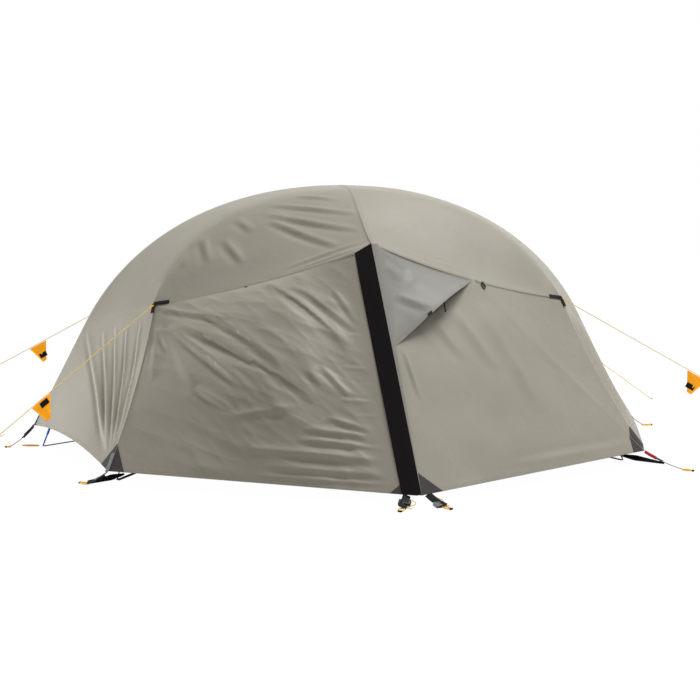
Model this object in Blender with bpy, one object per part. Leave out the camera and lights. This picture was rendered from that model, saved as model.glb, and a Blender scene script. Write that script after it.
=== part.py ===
"""Dome tent: three arched poles and a ridge pole carry a flysheet with a vestibule on each long side.

The long spine pole lies over Y = 0, the ridge pole over X = 0, and the origin is on the ground below
the top of the ridge. The back is the front turned half round the upright axis, doors included.
"""

import math

import bmesh
import bpy
from mathutils import Matrix, Vector

# Flysheet, measured on its outer face
RIDGE_HEIGHT = 1.050
HOOP_SETBACK = 0.200
HOOP_DROP = 0.016
EAVE_REACH = 0.681
EAVE_HEIGHT = 0.827
EAVE_SAG = 0.027
TAB_X = 0.797
TAB_Y = 0.463
TAB_HEIGHT = 0.606
SHOULDER_X = 1.045
SHOULDER_HEIGHT = 0.500
END_X = 1.258
END_HEM_HEIGHT = 0.088
CORNER_X = 0.990
CORNER_Y = 0.866
CORNER_HEM_HEIGHT = 0.060
TIP_Y = 1.340
TIP_HEM_HEIGHT = 0.032
END_HEM_ARCH = 0.055
LEG_SEAM_SAG = 0.035
CLOTH = 0.0015
SEAM_GAP = 0.0008

# Handle lengths of the flysheet's curves
SPINE_CROWN = 0.50
SPINE_SHOULDER = 0.38
HOOP_CROWN = 0.42
HOOP_SHOULDER = 0.33
RIDGE_CROWN = 0.07
RIDGE_DROP = 0.12
RIDGE_FLARE = 0.13
RIDGE_FLARE_SLOPE = 0.09
RIDGE_BREAK_SLOPE = 0.165

# Poles, tips and crossing clips
POLE_RADIUS = 0.0045
RIDGE_POLE_RADIUS = 0.0042
POLE_SET = 0.018
RIDGE_END_SET = 0.014
SPINE_FOOT_X = 1.225
HOOP_FOOT_X = 0.955
HOOP_FOOT_Y = 0.745
TIP_RADIUS = 0.0030
TIP_LENGTH = 0.050
CLIP_SIDE = 0.018
CLIP_WALL = 0.0030
CLIP_PLAY = 0.0012
RIDGE_PLAY = 0.0009
RUNNING_GAP = 0.0004

# Door, vent hood, zip and storm flap
VENT_SHARE = 0.506
VENT_DROP = 0.433
HOOD_LIFT = 0.070
ZIP_RADIUS = 0.0030
ZIP_TOP_SET = 0.035
ZIP_FOOT_SET = 0.020
FIXED_SIDE = 0.0035
DOOR_SIDE = 0.0080
FLAP_NEAR = 0.0060
FLAP_WIDTH = 0.064
FLAP_LIFT = 0.0010
SLIDER_WIDTH = 0.0090
SLIDER_LENGTH = 0.0160
SLIDER_HEIGHT = 0.0095
STRUT_LENGTH = 0.056
STRUT_WIDTH = 0.010
STRUT_THICK = 0.002
STRUT_SET = 0.008
STRUT_DROP = 0.0030

# Inner tent
INNER_CLEARANCE = 0.055
INNER_FOOT_CLEARANCE = 0.135
TRAY_WALL = 0.120
TRAY_CLOTH = 0.002
TRAY_SEAM = 0.0008
INNER_DOOR_HALF = 0.30
GROMMET_WIDTH = 0.020

# Straps at the hem and what holds them
STRAP_WIDTH = 0.018
STRAP_THICK = 0.0018
STRAP_SEAT = 0.0002
STRAP_SLACK = 0.12
END_STRAP_REACH = 0.100
FIXED_STRAP_REACH = 0.100
DOOR_STRAP_REACH = 0.155
TIP_STRAP_REACH = 0.085
TIP_STRAP_SIDE = 0.036
TIP_STRAP_DROP = 0.0007
GROUND_GAP = 0.002
BUCKLE_LENGTH = 0.012
BUCKLE_WALL = 0.003

# Guylines, tensioners and pouches
CORD_RADIUS = 0.0011
TENSIONER_LENGTH = 0.026
TENSIONER_WIDTH = 0.011
TENSIONER_THICK = 0.006
POUCH_WIDTH = 0.085
POUCH_DROP = 0.090
POUCH_LIP = 0.012
POUCH_FOOT = 0.018
POUCH_THICK = 0.008
GUY_START = 0.0027
GUYLINES = {
    "front_left": {"foot": (-1.603, -0.966), "tensioner": 0.72, "pouch": 0.475},
    "front_right": {"foot": (1.850, -0.680), "tensioner": 0.72, "pouch": 0.470},
    "back_left": {"foot": (-1.860, 0.900), "tensioner": 0.66, "pouch": 0.390},
    "back_right": {"foot": (1.710, 0.725), "tensioner": 0.66, "pouch": None},
}

STEPS = 8
SIDES = {"front": 0.0, "back": math.pi}
INSIDE = Vector((0.0, 0.0, 0.30))

SAND = (0.40, 0.36, 0.30)
BLACK = (0.012, 0.012, 0.013)
ANODISED_BLUE = (0.03, 0.10, 0.30)
ANODISED_RED = (0.45, 0.03, 0.03)
SILVER = (0.60, 0.61, 0.62)
GREY = (0.22, 0.23, 0.23)
YELLOW = (0.85, 0.55, 0.12)
ORANGE = (0.90, 0.33, 0.02)
INNER_GREY = (0.55, 0.55, 0.53)


# Curves


def bezier(start, start_handle, end_handle, end, steps=STEPS):
    """Points along one cubic stretch."""
    points = []
    for i in range(steps + 1):
        t = i / steps
        points.append(
            start * (1 - t) ** 3
            + start_handle * (3 * t * (1 - t) ** 2)
            + end_handle * (3 * t * t * (1 - t))
            + end * t**3
        )
    return points


def sagged(start, end, sag, steps=STEPS):
    """Points from start to end, pulled along the vector sag, most at the middle."""
    points = []
    for i in range(steps + 1):
        t = i / steps
        points.append(start.lerp(end, t) + sag * (4 * t * (1 - t)))
    return points


def straight(start, end, steps=STEPS):
    return sagged(start, end, Vector(), steps)


# The flysheet's lines in the quarter with X above 0 and Y below 0

TOP = Vector((0, 0, RIDGE_HEIGHT))
BREAK = Vector((0, -HOOP_SETBACK, RIDGE_HEIGHT - HOOP_DROP))
EAVE = Vector((0, -EAVE_REACH, EAVE_HEIGHT))
TAB = Vector((TAB_X, -TAB_Y, TAB_HEIGHT))
SHOULDER = Vector((SHOULDER_X, 0, SHOULDER_HEIGHT))
END = Vector((END_X, 0, END_HEM_HEIGHT))
CORNER = Vector((CORNER_X, -CORNER_Y, CORNER_HEM_HEIGHT))
TIP = Vector((0, -TIP_Y, TIP_HEM_HEIGHT))
INWARD = -Vector((TAB_X, -TAB_Y, 0)).normalized()
VENT_FOOT = EAVE.lerp(TIP, VENT_DROP)
ZIP_DIRECTION = (TIP - EAVE).normalized()
ZIP_OUT = ZIP_DIRECTION.cross(Vector((1, 0, 0))).normalized()


def spine_line(top, shoulder, foot):
    lift = (shoulder - foot).normalized() * SPINE_SHOULDER
    return bezier(top, top + Vector((SPINE_CROWN, 0, 0)), shoulder + lift, shoulder)


def hoop_line(top, tab, foot):
    lift = (tab - foot).normalized() * HOOP_SHOULDER
    return bezier(top, top + Vector((HOOP_CROWN, 0, 0)), tab + lift, tab)


def ridge_flat():
    fall = Vector((0, -1, -RIDGE_BREAK_SLOPE)).normalized()
    return bezier(TOP, TOP - Vector((0, RIDGE_CROWN, 0)), BREAK - fall * RIDGE_CROWN, BREAK)


def ridge_drop():
    fall = Vector((0, -1, -RIDGE_BREAK_SLOPE)).normalized()
    flare = Vector((0, 1, -RIDGE_FLARE_SLOPE)).normalized()
    return bezier(BREAK, BREAK + fall * RIDGE_DROP, EAVE + flare * RIDGE_FLARE, EAVE)


def eave_point(share):
    sag = EAVE_SAG * 4 * share * (1 - share)
    return EAVE.lerp(TAB, share) - Vector((0, 0, sag))


def eave_line(first=0.0, last=1.0):
    return [eave_point(first + (last - first) * i / STEPS) for i in range(STEPS + 1)]


def leg_seam():
    return sagged(TAB, CORNER, INWARD * LEG_SEAM_SAG)


VENT_TIP = eave_point(VENT_SHARE)
HINGE = (CORNER - VENT_TIP).normalized()
DOOR_OUT = (VENT_FOOT - VENT_TIP).cross(HINGE).normalized()


# Sheets


def coons(low, high, left, right):
    """Grid of points filling four edges: low and high run the same way, left and right from low to high."""
    rows = []
    count_u = len(low) - 1
    count_v = len(left) - 1
    for j in range(count_v + 1):
        v = j / count_v
        row = []
        for i in range(count_u + 1):
            u = i / count_u
            ruled = low[i] * (1 - v) + high[i] * v + left[j] * (1 - u) + right[j] * u
            corners = (low[0] * (1 - u) + low[-1] * u) * (1 - v) + (high[0] * (1 - u) + high[-1] * u) * v
            row.append(ruled - corners)
        rows.append(row)
    return rows


def roof_top():
    spine = spine_line(TOP, SHOULDER, END)
    hoop = hoop_line(BREAK, TAB, CORNER)
    return coons(spine, hoop, ridge_flat(), straight(SHOULDER, TAB))


def roof_front():
    hoop = hoop_line(BREAK, TAB, CORNER)
    return coons(hoop, eave_line(), ridge_drop(), [TAB] * (STEPS + 1))


def end_panel():
    arch = Vector((0, 0, END_HEM_ARCH))
    hem = sagged(CORNER, END, arch)
    return coons(straight(TAB, SHOULDER), hem, leg_seam(), straight(SHOULDER, END))


def side_panel():
    """The vestibule's fixed half, in the door's quarter; it is used mirrored."""
    aside = Vector((FIXED_SIDE, 0, 0))
    zip_edge = straight(EAVE + aside, TIP + aside)
    eave = eave_line()
    eave[0] = zip_edge[0]
    return coons(eave, straight(zip_edge[-1], CORNER), zip_edge, leg_seam())


def gusset():
    """What stays of the vestibule beside the door, out to the leg seam."""
    return coons(
        eave_line(VENT_SHARE, 1.0), [CORNER] * (STEPS + 1), straight(VENT_TIP, CORNER), leg_seam()
    )


def door_leaf():
    aside = Vector((DOOR_SIDE, 0, 0))
    return coons(
        straight(VENT_TIP, VENT_FOOT + aside),
        straight(CORNER, TIP + aside),
        straight(VENT_TIP, CORNER),
        straight(VENT_FOOT + aside, TIP + aside),
    )


def vent_hood():
    aside = Vector((DOOR_SIDE, 0, 0))
    top = EAVE + aside
    eave = eave_line(0.0, VENT_SHARE)
    eave[0] = top
    mouth = sagged(VENT_TIP, VENT_FOOT + aside, DOOR_OUT * HOOD_LIFT)
    return coons(eave, straight(top, VENT_FOOT + aside), [top] * (STEPS + 1), mouth)


def storm_flap():
    """A strip of the fixed half beside the zip, a little above its cloth."""
    panel = side_panel()
    rows = []
    for row in panel:
        along = (row[1] - row[0]).normalized()
        out = along.cross(panel[0][0] - panel[-1][0]).normalized()
        near = row[0] + along * (FLAP_NEAR - FIXED_SIDE) + out * (CLOTH + FLAP_LIFT)
        rows.append([near, near + along * FLAP_WIDTH])
    return rows


def mirrored(grid, mirror_x, mirror_y):
    return [[Vector((p.x * mirror_x, p.y * mirror_y, p.z)) for p in row] for row in grid]


def add_grid(bm, grid):
    rows = [[bm.verts.new(point) for point in row] for row in grid]
    for low, high in zip(rows, rows[1:]):
        for i in range(len(low) - 1):
            bm.faces.new((low[i], low[i + 1], high[i + 1], high[i]))


def draw_in(bm, distance):
    """Moves the sheet's edge inwards, so that it clears the sheet sewn to it."""
    moves = {}
    for vert in bm.verts:
        if not vert.is_boundary:
            continue
        edges = [edge for edge in vert.link_edges if edge.is_boundary]
        inward = Vector()
        for edge in edges:
            along = (edge.other_vert(vert).co - vert.co).normalized()
            to_face = edge.link_faces[0].calc_center_median() - vert.co
            inward += (to_face - along * to_face.dot(along)).normalized()
        moves[vert] = inward.normalized() * distance
    for vert, move in moves.items():
        vert.co += move


def face_out(bm):
    """Turns the faces away from the space inside the tent."""
    bmesh.ops.recalc_face_normals(bm, faces=bm.faces)
    outward = 0.0
    for face in bm.faces:
        outward += face.normal.dot(face.calc_center_median() - INSIDE) * face.calc_area()
    if outward < 0:
        bmesh.ops.reverse_faces(bm, faces=bm.faces)


# Objects


def finish(obj, colour, roughness, metallic=0.0):
    material = bpy.data.materials.new(obj.name)
    material.use_nodes = True
    shader = material.node_tree.nodes["Principled BSDF"]
    shader.inputs["Base Color"].default_value = (*colour, 1.0)
    shader.inputs["Roughness"].default_value = roughness
    shader.inputs["Metallic"].default_value = metallic
    obj.data.materials.append(material)
    return obj


def add_mesh(name, bm):
    mesh = bpy.data.meshes.new(name)
    bm.to_mesh(mesh)
    bm.free()
    obj = bpy.data.objects.new(name, mesh)
    bpy.context.scene.collection.objects.link(obj)
    return obj


def add_sheet(name, grids, thickness=CLOTH):
    """A closed sheet of cloth through the grids, which are welded where their edges meet."""
    bm = bmesh.new()
    for grid in grids:
        add_grid(bm, grid)
    bmesh.ops.remove_doubles(bm, verts=bm.verts, dist=1e-5)
    bmesh.ops.dissolve_degenerate(bm, edges=bm.edges, dist=1e-5)
    face_out(bm)
    draw_in(bm, SEAM_GAP)
    obj = add_mesh(name, bm)
    obj.data.shade_smooth()
    thicken = obj.modifiers.new("cloth", "SOLIDIFY")
    thicken.thickness = thickness
    thicken.offset = -1.0
    thicken.use_even_offset = True
    return obj


def add_tube(name, points, radius):
    """A round bar along the points, with closed ends."""
    curve = bpy.data.curves.new(name, "CURVE")
    curve.dimensions = "3D"
    curve.bevel_depth = radius
    curve.bevel_resolution = 2
    curve.use_fill_caps = True
    spline = curve.splines.new("POLY")
    spline.points.add(len(points) - 1)
    for knot, point in zip(spline.points, points):
        knot.co = (*point, 1.0)
    obj = bpy.data.objects.new(name, curve)
    bpy.context.scene.collection.objects.link(obj)
    return obj


def basis(along, up):
    """Turns local X along, and local Z as near up as it can be."""
    x = along.normalized()
    y = up.cross(x).normalized()
    z = x.cross(y)
    return Matrix((x, y, z)).transposed().to_4x4()


def box_mesh(size, centre=(0, 0, 0)):
    bm = bmesh.new()
    bmesh.ops.create_cube(bm, size=1.0)
    bmesh.ops.scale(bm, vec=size, verts=bm.verts)
    bmesh.ops.translate(bm, vec=centre, verts=bm.verts)
    return bm


def add_cutter(name, bm, parent):
    cutter = add_mesh(name, bm)
    cutter.parent = parent
    cutter.hide_render = True
    cutter.display_type = "WIRE"
    return cutter


def bar_mesh(radius, length, turn=None):
    """A round bar centred on the local origin, along local X unless it is turned."""
    bm = bmesh.new()
    lie = Matrix.Rotation(math.pi / 2, 4, "Y")
    bmesh.ops.create_cone(
        bm,
        cap_ends=True,
        segments=16,
        radius1=radius,
        radius2=radius,
        depth=length,
        matrix=lie if turn is None else turn @ lie,
    )
    return bm


def cut(obj, cutter):
    boolean = obj.modifiers.new(cutter.name, "BOOLEAN")
    boolean.operation = "DIFFERENCE"
    boolean.solver = "EXACT"
    boolean.object = cutter


def turned(point, angle):
    return Matrix.Rotation(angle, 3, "Z") @ point


# Frame of poles


def toward(point, centre, distance):
    return point + (centre - point).normalized() * distance


def hung_line(line, centre):
    return [toward(point, centre, POLE_SET) for point in line]


def spine_half():
    """Centre line of the spine pole from its top down to its foot on the ground."""
    upper = hung_line(spine_line(TOP, SHOULDER, END), Vector((0, 0, SHOULDER_HEIGHT)))
    return upper, Vector((SPINE_FOOT_X, 0, TIP_RADIUS))


def hoop_half():
    upper = hung_line(hoop_line(BREAK, TAB, CORNER), Vector((0, -HOOP_SETBACK, SHOULDER_HEIGHT)))
    return upper, Vector((HOOP_FOOT_X, -HOOP_FOOT_Y, TIP_RADIUS))


def leg_end(upper, foot):
    """Where the pole ends and its tip begins."""
    return toward(foot, upper[-1], TIP_LENGTH)


def whole_arch(half):
    upper, foot = half
    side = upper + straight(upper[-1], leg_end(upper, foot), STEPS // 2)[1:]
    other = [Vector((-p.x, p.y, p.z)) for p in side]
    return other[:0:-1] + side


def add_poles():
    finish(add_tube("spine_pole", whole_arch(spine_half()), POLE_RADIUS), ANODISED_BLUE, 0.35, 1.0)
    arch = whole_arch(hoop_half())
    for side, angle in SIDES.items():
        points = [turned(point, angle) for point in arch]
        finish(add_tube(f"{side}_hoop_pole", points, POLE_RADIUS), ANODISED_RED, 0.35, 1.0)
    finish(add_tube("ridge_pole", ridge_pole_line(), RIDGE_POLE_RADIUS), SILVER, 0.35, 1.0)


def ridge_pole_set():
    return CLOTH + RUNNING_GAP + RIDGE_POLE_RADIUS


def ridge_pole_line():
    """The ridge of the flysheet set inwards by its cloth and half the pole, from eave to eave."""
    ridge = ridge_flat() + ridge_drop()[1:]
    half = []
    for i, point in enumerate(ridge):
        ahead = ridge[min(i + 1, len(ridge) - 1)]
        behind = ridge[i - 1] if i else Vector((0, -ahead.y, ahead.z))
        normal = (ahead - behind).normalized().cross(Vector((1, 0, 0)))
        half.append(point - normal * ridge_pole_set() * math.copysign(1, normal.z))
    half[-1] = toward(half[-1], half[-2], RIDGE_END_SET)
    return [Vector((0, -p.y, p.z)) for p in half[:0:-1]] + half


def add_tip(name, half, mirror_x, angle):
    upper, foot = half
    start = leg_end(upper, foot)
    along = (foot - start).normalized()
    ends = [start + along * RUNNING_GAP, foot]
    points = [turned(Vector((p.x * mirror_x, p.y, p.z)), angle) for p in ends]
    finish(add_tube(name, points, TIP_RADIUS), SILVER, 0.25, 1.0)


def add_tips():
    for side, mirror_x in (("left", -1), ("right", 1)):
        add_tip(f"spine_tip_{side}", spine_half(), mirror_x, 0.0)
    for end, angle in SIDES.items():
        for side, mirror_x in (("left", -1), ("right", 1)):
            facing = mirror_x if end == "front" else -mirror_x
            add_tip(f"{end}_hoop_tip_{side}", hoop_half(), facing, angle)


def add_clip(name, pole_top, ridge_point, slope):
    """A saddle that holds the ridge pole on top of an arched pole."""
    base = pole_top.z - POLE_RADIUS - CLIP_WALL
    height = ridge_point.z - base
    body = box_mesh((CLIP_SIDE, CLIP_SIDE, height), (0, 0, height / 2))
    clip = add_mesh(name, body)
    clip.location = (0, ridge_point.y, base)
    lower = bar_mesh(POLE_RADIUS + CLIP_PLAY, 2 * CLIP_SIDE)
    seat = Vector((0, pole_top.y - ridge_point.y, POLE_RADIUS + CLIP_WALL))
    bmesh.ops.translate(lower, vec=seat, verts=lower.verts)
    cut(clip, add_cutter(name + "_pole_bore", lower, clip))
    upper = bar_mesh(RIDGE_POLE_RADIUS + RIDGE_PLAY, 2 * CLIP_SIDE, basis(slope, Vector((0, 0, 1))))
    bmesh.ops.translate(upper, vec=(0, 0, height), verts=upper.verts)
    cut(clip, add_cutter(name + "_ridge_bore", upper, clip))
    finish(clip, BLACK, 0.5)


def add_clips():
    line = ridge_pole_line()
    middle = len(line) // 2
    add_clip("spine_clip", spine_half()[0][0], line[middle], Vector((0, 1, 0)))
    crown = hoop_half()[0][0]
    for side, step in (("front", 1), ("back", -1)):
        at = middle + step * STEPS
        slope = line[at + 1] - line[at - 1]
        top = Vector((0, crown.y * step, crown.z))
        add_clip(f"{side}_hoop_clip", top, line[at], slope)


# Flysheet with its doors


def add_flysheet():
    quarters = [(x, y) for x in (1, -1) for y in (1, -1)]
    roof = [mirrored(panel, x, y) for panel in (roof_top(), roof_front()) for x, y in quarters]
    finish(add_sheet("fly_roof", roof), SAND, 0.6)
    for name, x in (("fly_end_right", 1), ("fly_end_left", -1)):
        grids = [mirrored(end_panel(), x, y) for y in (1, -1)]
        grids.append(mirrored(gusset(), x, x))
        finish(add_sheet(name, grids), SAND, 0.6)
    for side, angle in SIDES.items():
        fixed = finish(add_sheet(f"{side}_side_panel", [mirrored(side_panel(), -1, 1)]), SAND, 0.6)
        hood = finish(add_sheet(f"{side}_vent_hood", [vent_hood()]), SAND, 0.6)
        flap = finish(add_sheet(f"{side}_storm_flap", [mirrored(storm_flap(), -1, 1)]), BLACK, 0.7)
        for obj in (fixed, hood, flap):
            obj.rotation_euler.z = angle
        add_door(side, angle)
        add_zip(side, angle)
        add_strut(side, angle)


def pivot(name, point, angle):
    empty = bpy.data.objects.new(name, None)
    bpy.context.scene.collection.objects.link(empty)
    empty.location = turned(point, angle)
    empty.rotation_euler.z = angle
    return empty


def add_door(side, angle):
    """The door leaf swings on the line from the vent's tip to the corner of the hem."""
    door = finish(add_sheet(f"{side}_door", [door_leaf()]), SAND, 0.6)
    door.parent = pivot(f"{side}_door_hinge", VENT_TIP, angle)
    door.matrix_parent_inverse = Matrix.Translation(-VENT_TIP)
    strap = add_strap(f"{side}_door_strap", tip_hem(1), tip_direction(1), TIP_STRAP_REACH)
    strap.parent = door.parent
    strap.matrix_parent_inverse = Matrix.Translation(-VENT_TIP)


def zip_ends():
    out = ZIP_OUT * ZIP_RADIUS
    return EAVE + ZIP_DIRECTION * ZIP_TOP_SET + out, TIP - ZIP_DIRECTION * ZIP_FOOT_SET + out


def add_zip(side, angle):
    points = [turned(point, angle) for point in zip_ends()]
    finish(add_tube(f"{side}_zip", points, ZIP_RADIUS), BLACK, 0.5)
    foot = zip_ends()[1] - ZIP_DIRECTION * SLIDER_LENGTH
    lift = SLIDER_HEIGHT / 2 - ZIP_RADIUS + RUNNING_GAP
    body = box_mesh((SLIDER_LENGTH, SLIDER_WIDTH, SLIDER_HEIGHT), (0, 0, lift))
    slider = add_mesh(f"{side}_zip_slider", body)
    slider.matrix_world = (
        Matrix.Rotation(angle, 4, "Z") @ Matrix.Translation(foot) @ basis(-ZIP_DIRECTION, ZIP_OUT)
    )
    bore = bar_mesh(ZIP_RADIUS + RUNNING_GAP, 2 * SLIDER_LENGTH)
    cut(slider, add_cutter(f"{side}_zip_slider_bore", bore, slider))
    finish(slider, BLACK, 0.4, 0.6)


def strut_hang():
    """Where the strut hangs on the hood's edge."""
    middle = VENT_TIP.lerp(VENT_FOOT, 0.5) + DOOR_OUT * HOOD_LIFT
    return middle - HINGE * STRUT_SET - DOOR_OUT * STRUT_DROP


def add_strut(side, angle):
    hang = strut_hang()
    body = box_mesh((STRUT_LENGTH, STRUT_WIDTH, STRUT_THICK), (STRUT_LENGTH / 2, 0, 0))
    bmesh.ops.bevel(
        body, geom=[e for e in body.edges if e.calc_length() < 2 * STRUT_THICK], offset=STRUT_WIDTH / 4,
        segments=2, affect="EDGES", profile=0.5,
    )
    strut = add_mesh(f"{side}_vent_strut", body)
    strut.matrix_world = (
        Matrix.Rotation(angle, 4, "Z") @ Matrix.Translation(hang) @ basis(-DOOR_OUT, HINGE)
    )
    finish(strut, BLACK, 0.6)


# Inner tent


def inner_rails():
    """The inner tent's lines under the spine, under the hoop and up the middle of its long side."""
    spine_upper, spine_foot = spine_half()
    hoop_upper, hoop_foot = hoop_half()
    rails = []
    for upper, foot in ((spine_upper, spine_foot), (hoop_upper, hoop_foot)):
        line = straight(foot, upper[-1], STEPS)[2:] + upper[::-1][1:-2]
        rail = []
        for i, point in enumerate(line):
            flat = Vector((point.x, point.y, 0))
            foot_share = max(0, 1 - i / (STEPS - 2))
            inset = INNER_CLEARANCE + (INNER_FOOT_CLEARANCE - INNER_CLEARANCE) * foot_share
            rail.append(point - flat.normalized() * inset - Vector((0, 0, INNER_CLEARANCE)))
        rise = TRAY_WALL + TRAY_SEAM - rail[0].z
        rails.append([point + Vector((0, 0, rise * (1 - i / len(rail)))) for i, point in enumerate(rail)])
    corner = rails[1]
    rails.append([Vector((0, point.y, point.z)) for point in corner])
    return rails


def inner_ring(level, steps):
    """One closed ring of the inner tent, from the right-hand end round by the front."""
    end, corner, middle = (rail[level] for rail in inner_rails())
    stops = []
    for x, y in ((1, 1), (-1, 1), (-1, -1), (1, -1)):
        run = [end, corner, middle] if x * y > 0 else [middle, corner, end]
        stops += [Vector((p.x * x, p.y * y, p.z)) for p in run[:-1]]
    ring = []
    for a, b in zip(stops, stops[1:] + stops[:1]):
        ring += [a.lerp(b, i / steps) for i in range(steps)]
    return ring


def add_inner_canopy():
    bm = bmesh.new()
    rings = [inner_ring(level, 3) for level in range(len(inner_rails()[0]))]
    crown = sum(point.z for point in rings[-1]) / len(rings[-1])
    rings[-1] = [Vector((point.x, point.y, crown)) for point in rings[-1]]
    rows = [[bm.verts.new(point) for point in ring] for ring in rings]
    for low, high in zip(rows, rows[1:]):
        for i, vert in enumerate(low):
            after = (i + 1) % len(low)
            faces = (vert, low[after], high[after], high[i])
            middle = sum((v.co for v in faces), Vector()) / 4
            on_side = abs(middle.x) < INNER_DOOR_HALF and abs(middle.y) > HOOP_SETBACK
            if on_side and TRAY_WALL * 1.6 < middle.z < TAB_HEIGHT:
                continue
            bm.faces.new(faces)
    bm.faces.new(rows[-1])
    face_out(bm)
    canopy = add_mesh("inner_canopy", bm)
    thicken = canopy.modifiers.new("cloth", "SOLIDIFY")
    thicken.thickness = CLOTH
    thicken.offset = -1.0
    finish(canopy, INNER_GREY, 0.8)


def add_inner_floor():
    """A tray of coated cloth with a webbing tab at each pole tip."""
    outline = [Vector((p.x, p.y, 0)) for p in inner_ring(0, 1)]
    bm = bmesh.new()
    base = [bm.verts.new(point) for point in outline]
    rim = [bm.verts.new(point + Vector((0, 0, TRAY_WALL))) for point in outline]
    bm.faces.new(base)
    for i in range(len(base)):
        after = (i + 1) % len(base)
        bm.faces.new((base[i], base[after], rim[after], rim[i]))
    face_out(bm)
    tray = add_mesh("inner_floor", bm)
    thicken = tray.modifiers.new("cloth", "SOLIDIFY")
    thicken.thickness = TRAY_CLOTH
    thicken.offset = -1.0
    finish(tray, BLACK, 0.5)
    spine_foot = spine_half()[1]
    hoop_foot = hoop_half()[1]
    end, corner, _ = (rail[0] for rail in inner_rails())
    tabs = [(end, spine_foot, x, 1) for x in (1, -1)]
    tabs += [(corner, hoop_foot, x, y) for x in (1, -1) for y in (1, -1)]
    for number, (start, foot, x, y) in enumerate(tabs):
        first = Vector((start.x * x, start.y * y, TRAY_CLOTH))
        last = Vector((foot.x * x, foot.y * y, TRAY_CLOTH))
        run = last - first
        reach = run.length + GROMMET_WIDTH - TIP_RADIUS - 2 * RUNNING_GAP
        body = box_mesh((reach, GROMMET_WIDTH, TRAY_CLOTH), (reach / 2 - GROMMET_WIDTH, 0, 0))
        tab = add_cutter(f"grommet_tab_{number}", body, None)
        tab.matrix_world = Matrix.Translation(first) @ basis(run, Vector((0, 0, 1)))
        join = tray.modifiers.new(tab.name, "BOOLEAN")
        join.operation = "UNION"
        join.solver = "EXACT"
        join.object = tab


# Straps at the hem


def strap_path(hem, flat, reach):
    """The strap's lower face, from under the hem out and down to the ground."""
    start = hem - Vector((0, 0, STRAP_THICK + STRAP_SEAT))
    end = Vector((hem.x, hem.y, GROUND_GAP)) + flat * reach
    return sagged(start, end, Vector((0, 0, -start.z * STRAP_SLACK)), STEPS // 2)


def add_strap(name, hem, direction, reach):
    """A webbing strap from under the hem out and down to the ground."""
    flat = direction.normalized()
    side = Vector((0, 0, 1)).cross(flat) * (STRAP_WIDTH / 2)
    thick = Vector((0, 0, STRAP_THICK))
    path = strap_path(hem, flat, reach)
    bm = bmesh.new()
    loops = [[bm.verts.new(p + w) for w in (side, -side, thick - side, thick + side)] for p in path]
    for a, b in zip(loops, loops[1:]):
        for i in range(4):
            bm.faces.new((a[i], a[(i + 1) % 4], b[(i + 1) % 4], b[i]))
    bm.faces.new(loops[0])
    bm.faces.new(loops[-1])
    bmesh.ops.recalc_face_normals(bm, faces=bm.faces)
    return finish(add_mesh(name, bm), GREY, 0.8)


def add_buckle(name, hem, direction, reach):
    """A ladder lock round the strap, at the middle of its run."""
    flat = direction.normalized()
    run = strap_path(hem, flat, reach)
    middle = run[1].lerp(run[2], 0.5) + Vector((0, 0, STRAP_THICK / 2))
    slot = (2 * BUCKLE_LENGTH, STRAP_WIDTH + 4 * RUNNING_GAP, STRAP_THICK + 4 * RUNNING_GAP)
    body = box_mesh((BUCKLE_LENGTH, slot[1] + 2 * BUCKLE_WALL, slot[2] + 2 * BUCKLE_WALL))
    buckle = add_mesh(name, body)
    buckle.matrix_world = Matrix.Translation(middle) @ basis(run[2] - run[1], Vector((0, 0, 1)))
    cut(buckle, add_cutter(name + "_slot", box_mesh(slot), buckle))
    finish(buckle, BLACK, 0.4)


def tip_hem(mirror_x):
    """Where a strap is sewn on beside the vestibule's tip."""
    hem = TIP.lerp(CORNER, TIP_STRAP_SIDE / CORNER_X)
    return Vector((hem.x * mirror_x, hem.y, hem.z - TIP_STRAP_DROP))


def tip_direction(mirror_x):
    return Vector((0.45 * mirror_x, -1, 0))


def add_hem_straps():
    for side, x in (("left", -1), ("right", 1)):
        hem = Vector((END.x * x, 0, END.z))
        add_strap(f"end_strap_{side}", hem, Vector((x, 0, 0)), END_STRAP_REACH)
        add_buckle(f"end_buckle_{side}", hem, Vector((x, 0, 0)), END_STRAP_REACH)
        for end, y in (("front", 1), ("back", -1)):
            corner = Vector((CORNER.x * x, CORNER.y * y, CORNER.z))
            beside_door = x * y > 0
            direction = Vector((x, -y if beside_door else y, 0))
            reach = DOOR_STRAP_REACH if beside_door else FIXED_STRAP_REACH
            add_strap(f"{end}_strap_{side}", corner, direction, reach)
            add_buckle(f"{end}_buckle_{side}", corner, direction, reach)
    for side, angle in SIDES.items():
        hem = turned(tip_hem(-1), angle)
        add_strap(f"{side}_tip_strap", hem, turned(tip_direction(-1), angle), TIP_STRAP_REACH)


# Guylines


def guy_ends(name):
    x = 1 if name.endswith("right") else -1
    y = 1 if name.startswith("front") else -1
    tab = Vector((TAB.x * x, TAB.y * y, TAB.z))
    foot = Vector((*GUYLINES[name]["foot"], CORD_RADIUS + GROUND_GAP))
    return toward(tab, foot, GUY_START), foot


def guy_point(name, share):
    start, foot = guy_ends(name)
    return start.lerp(foot, share)


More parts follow.
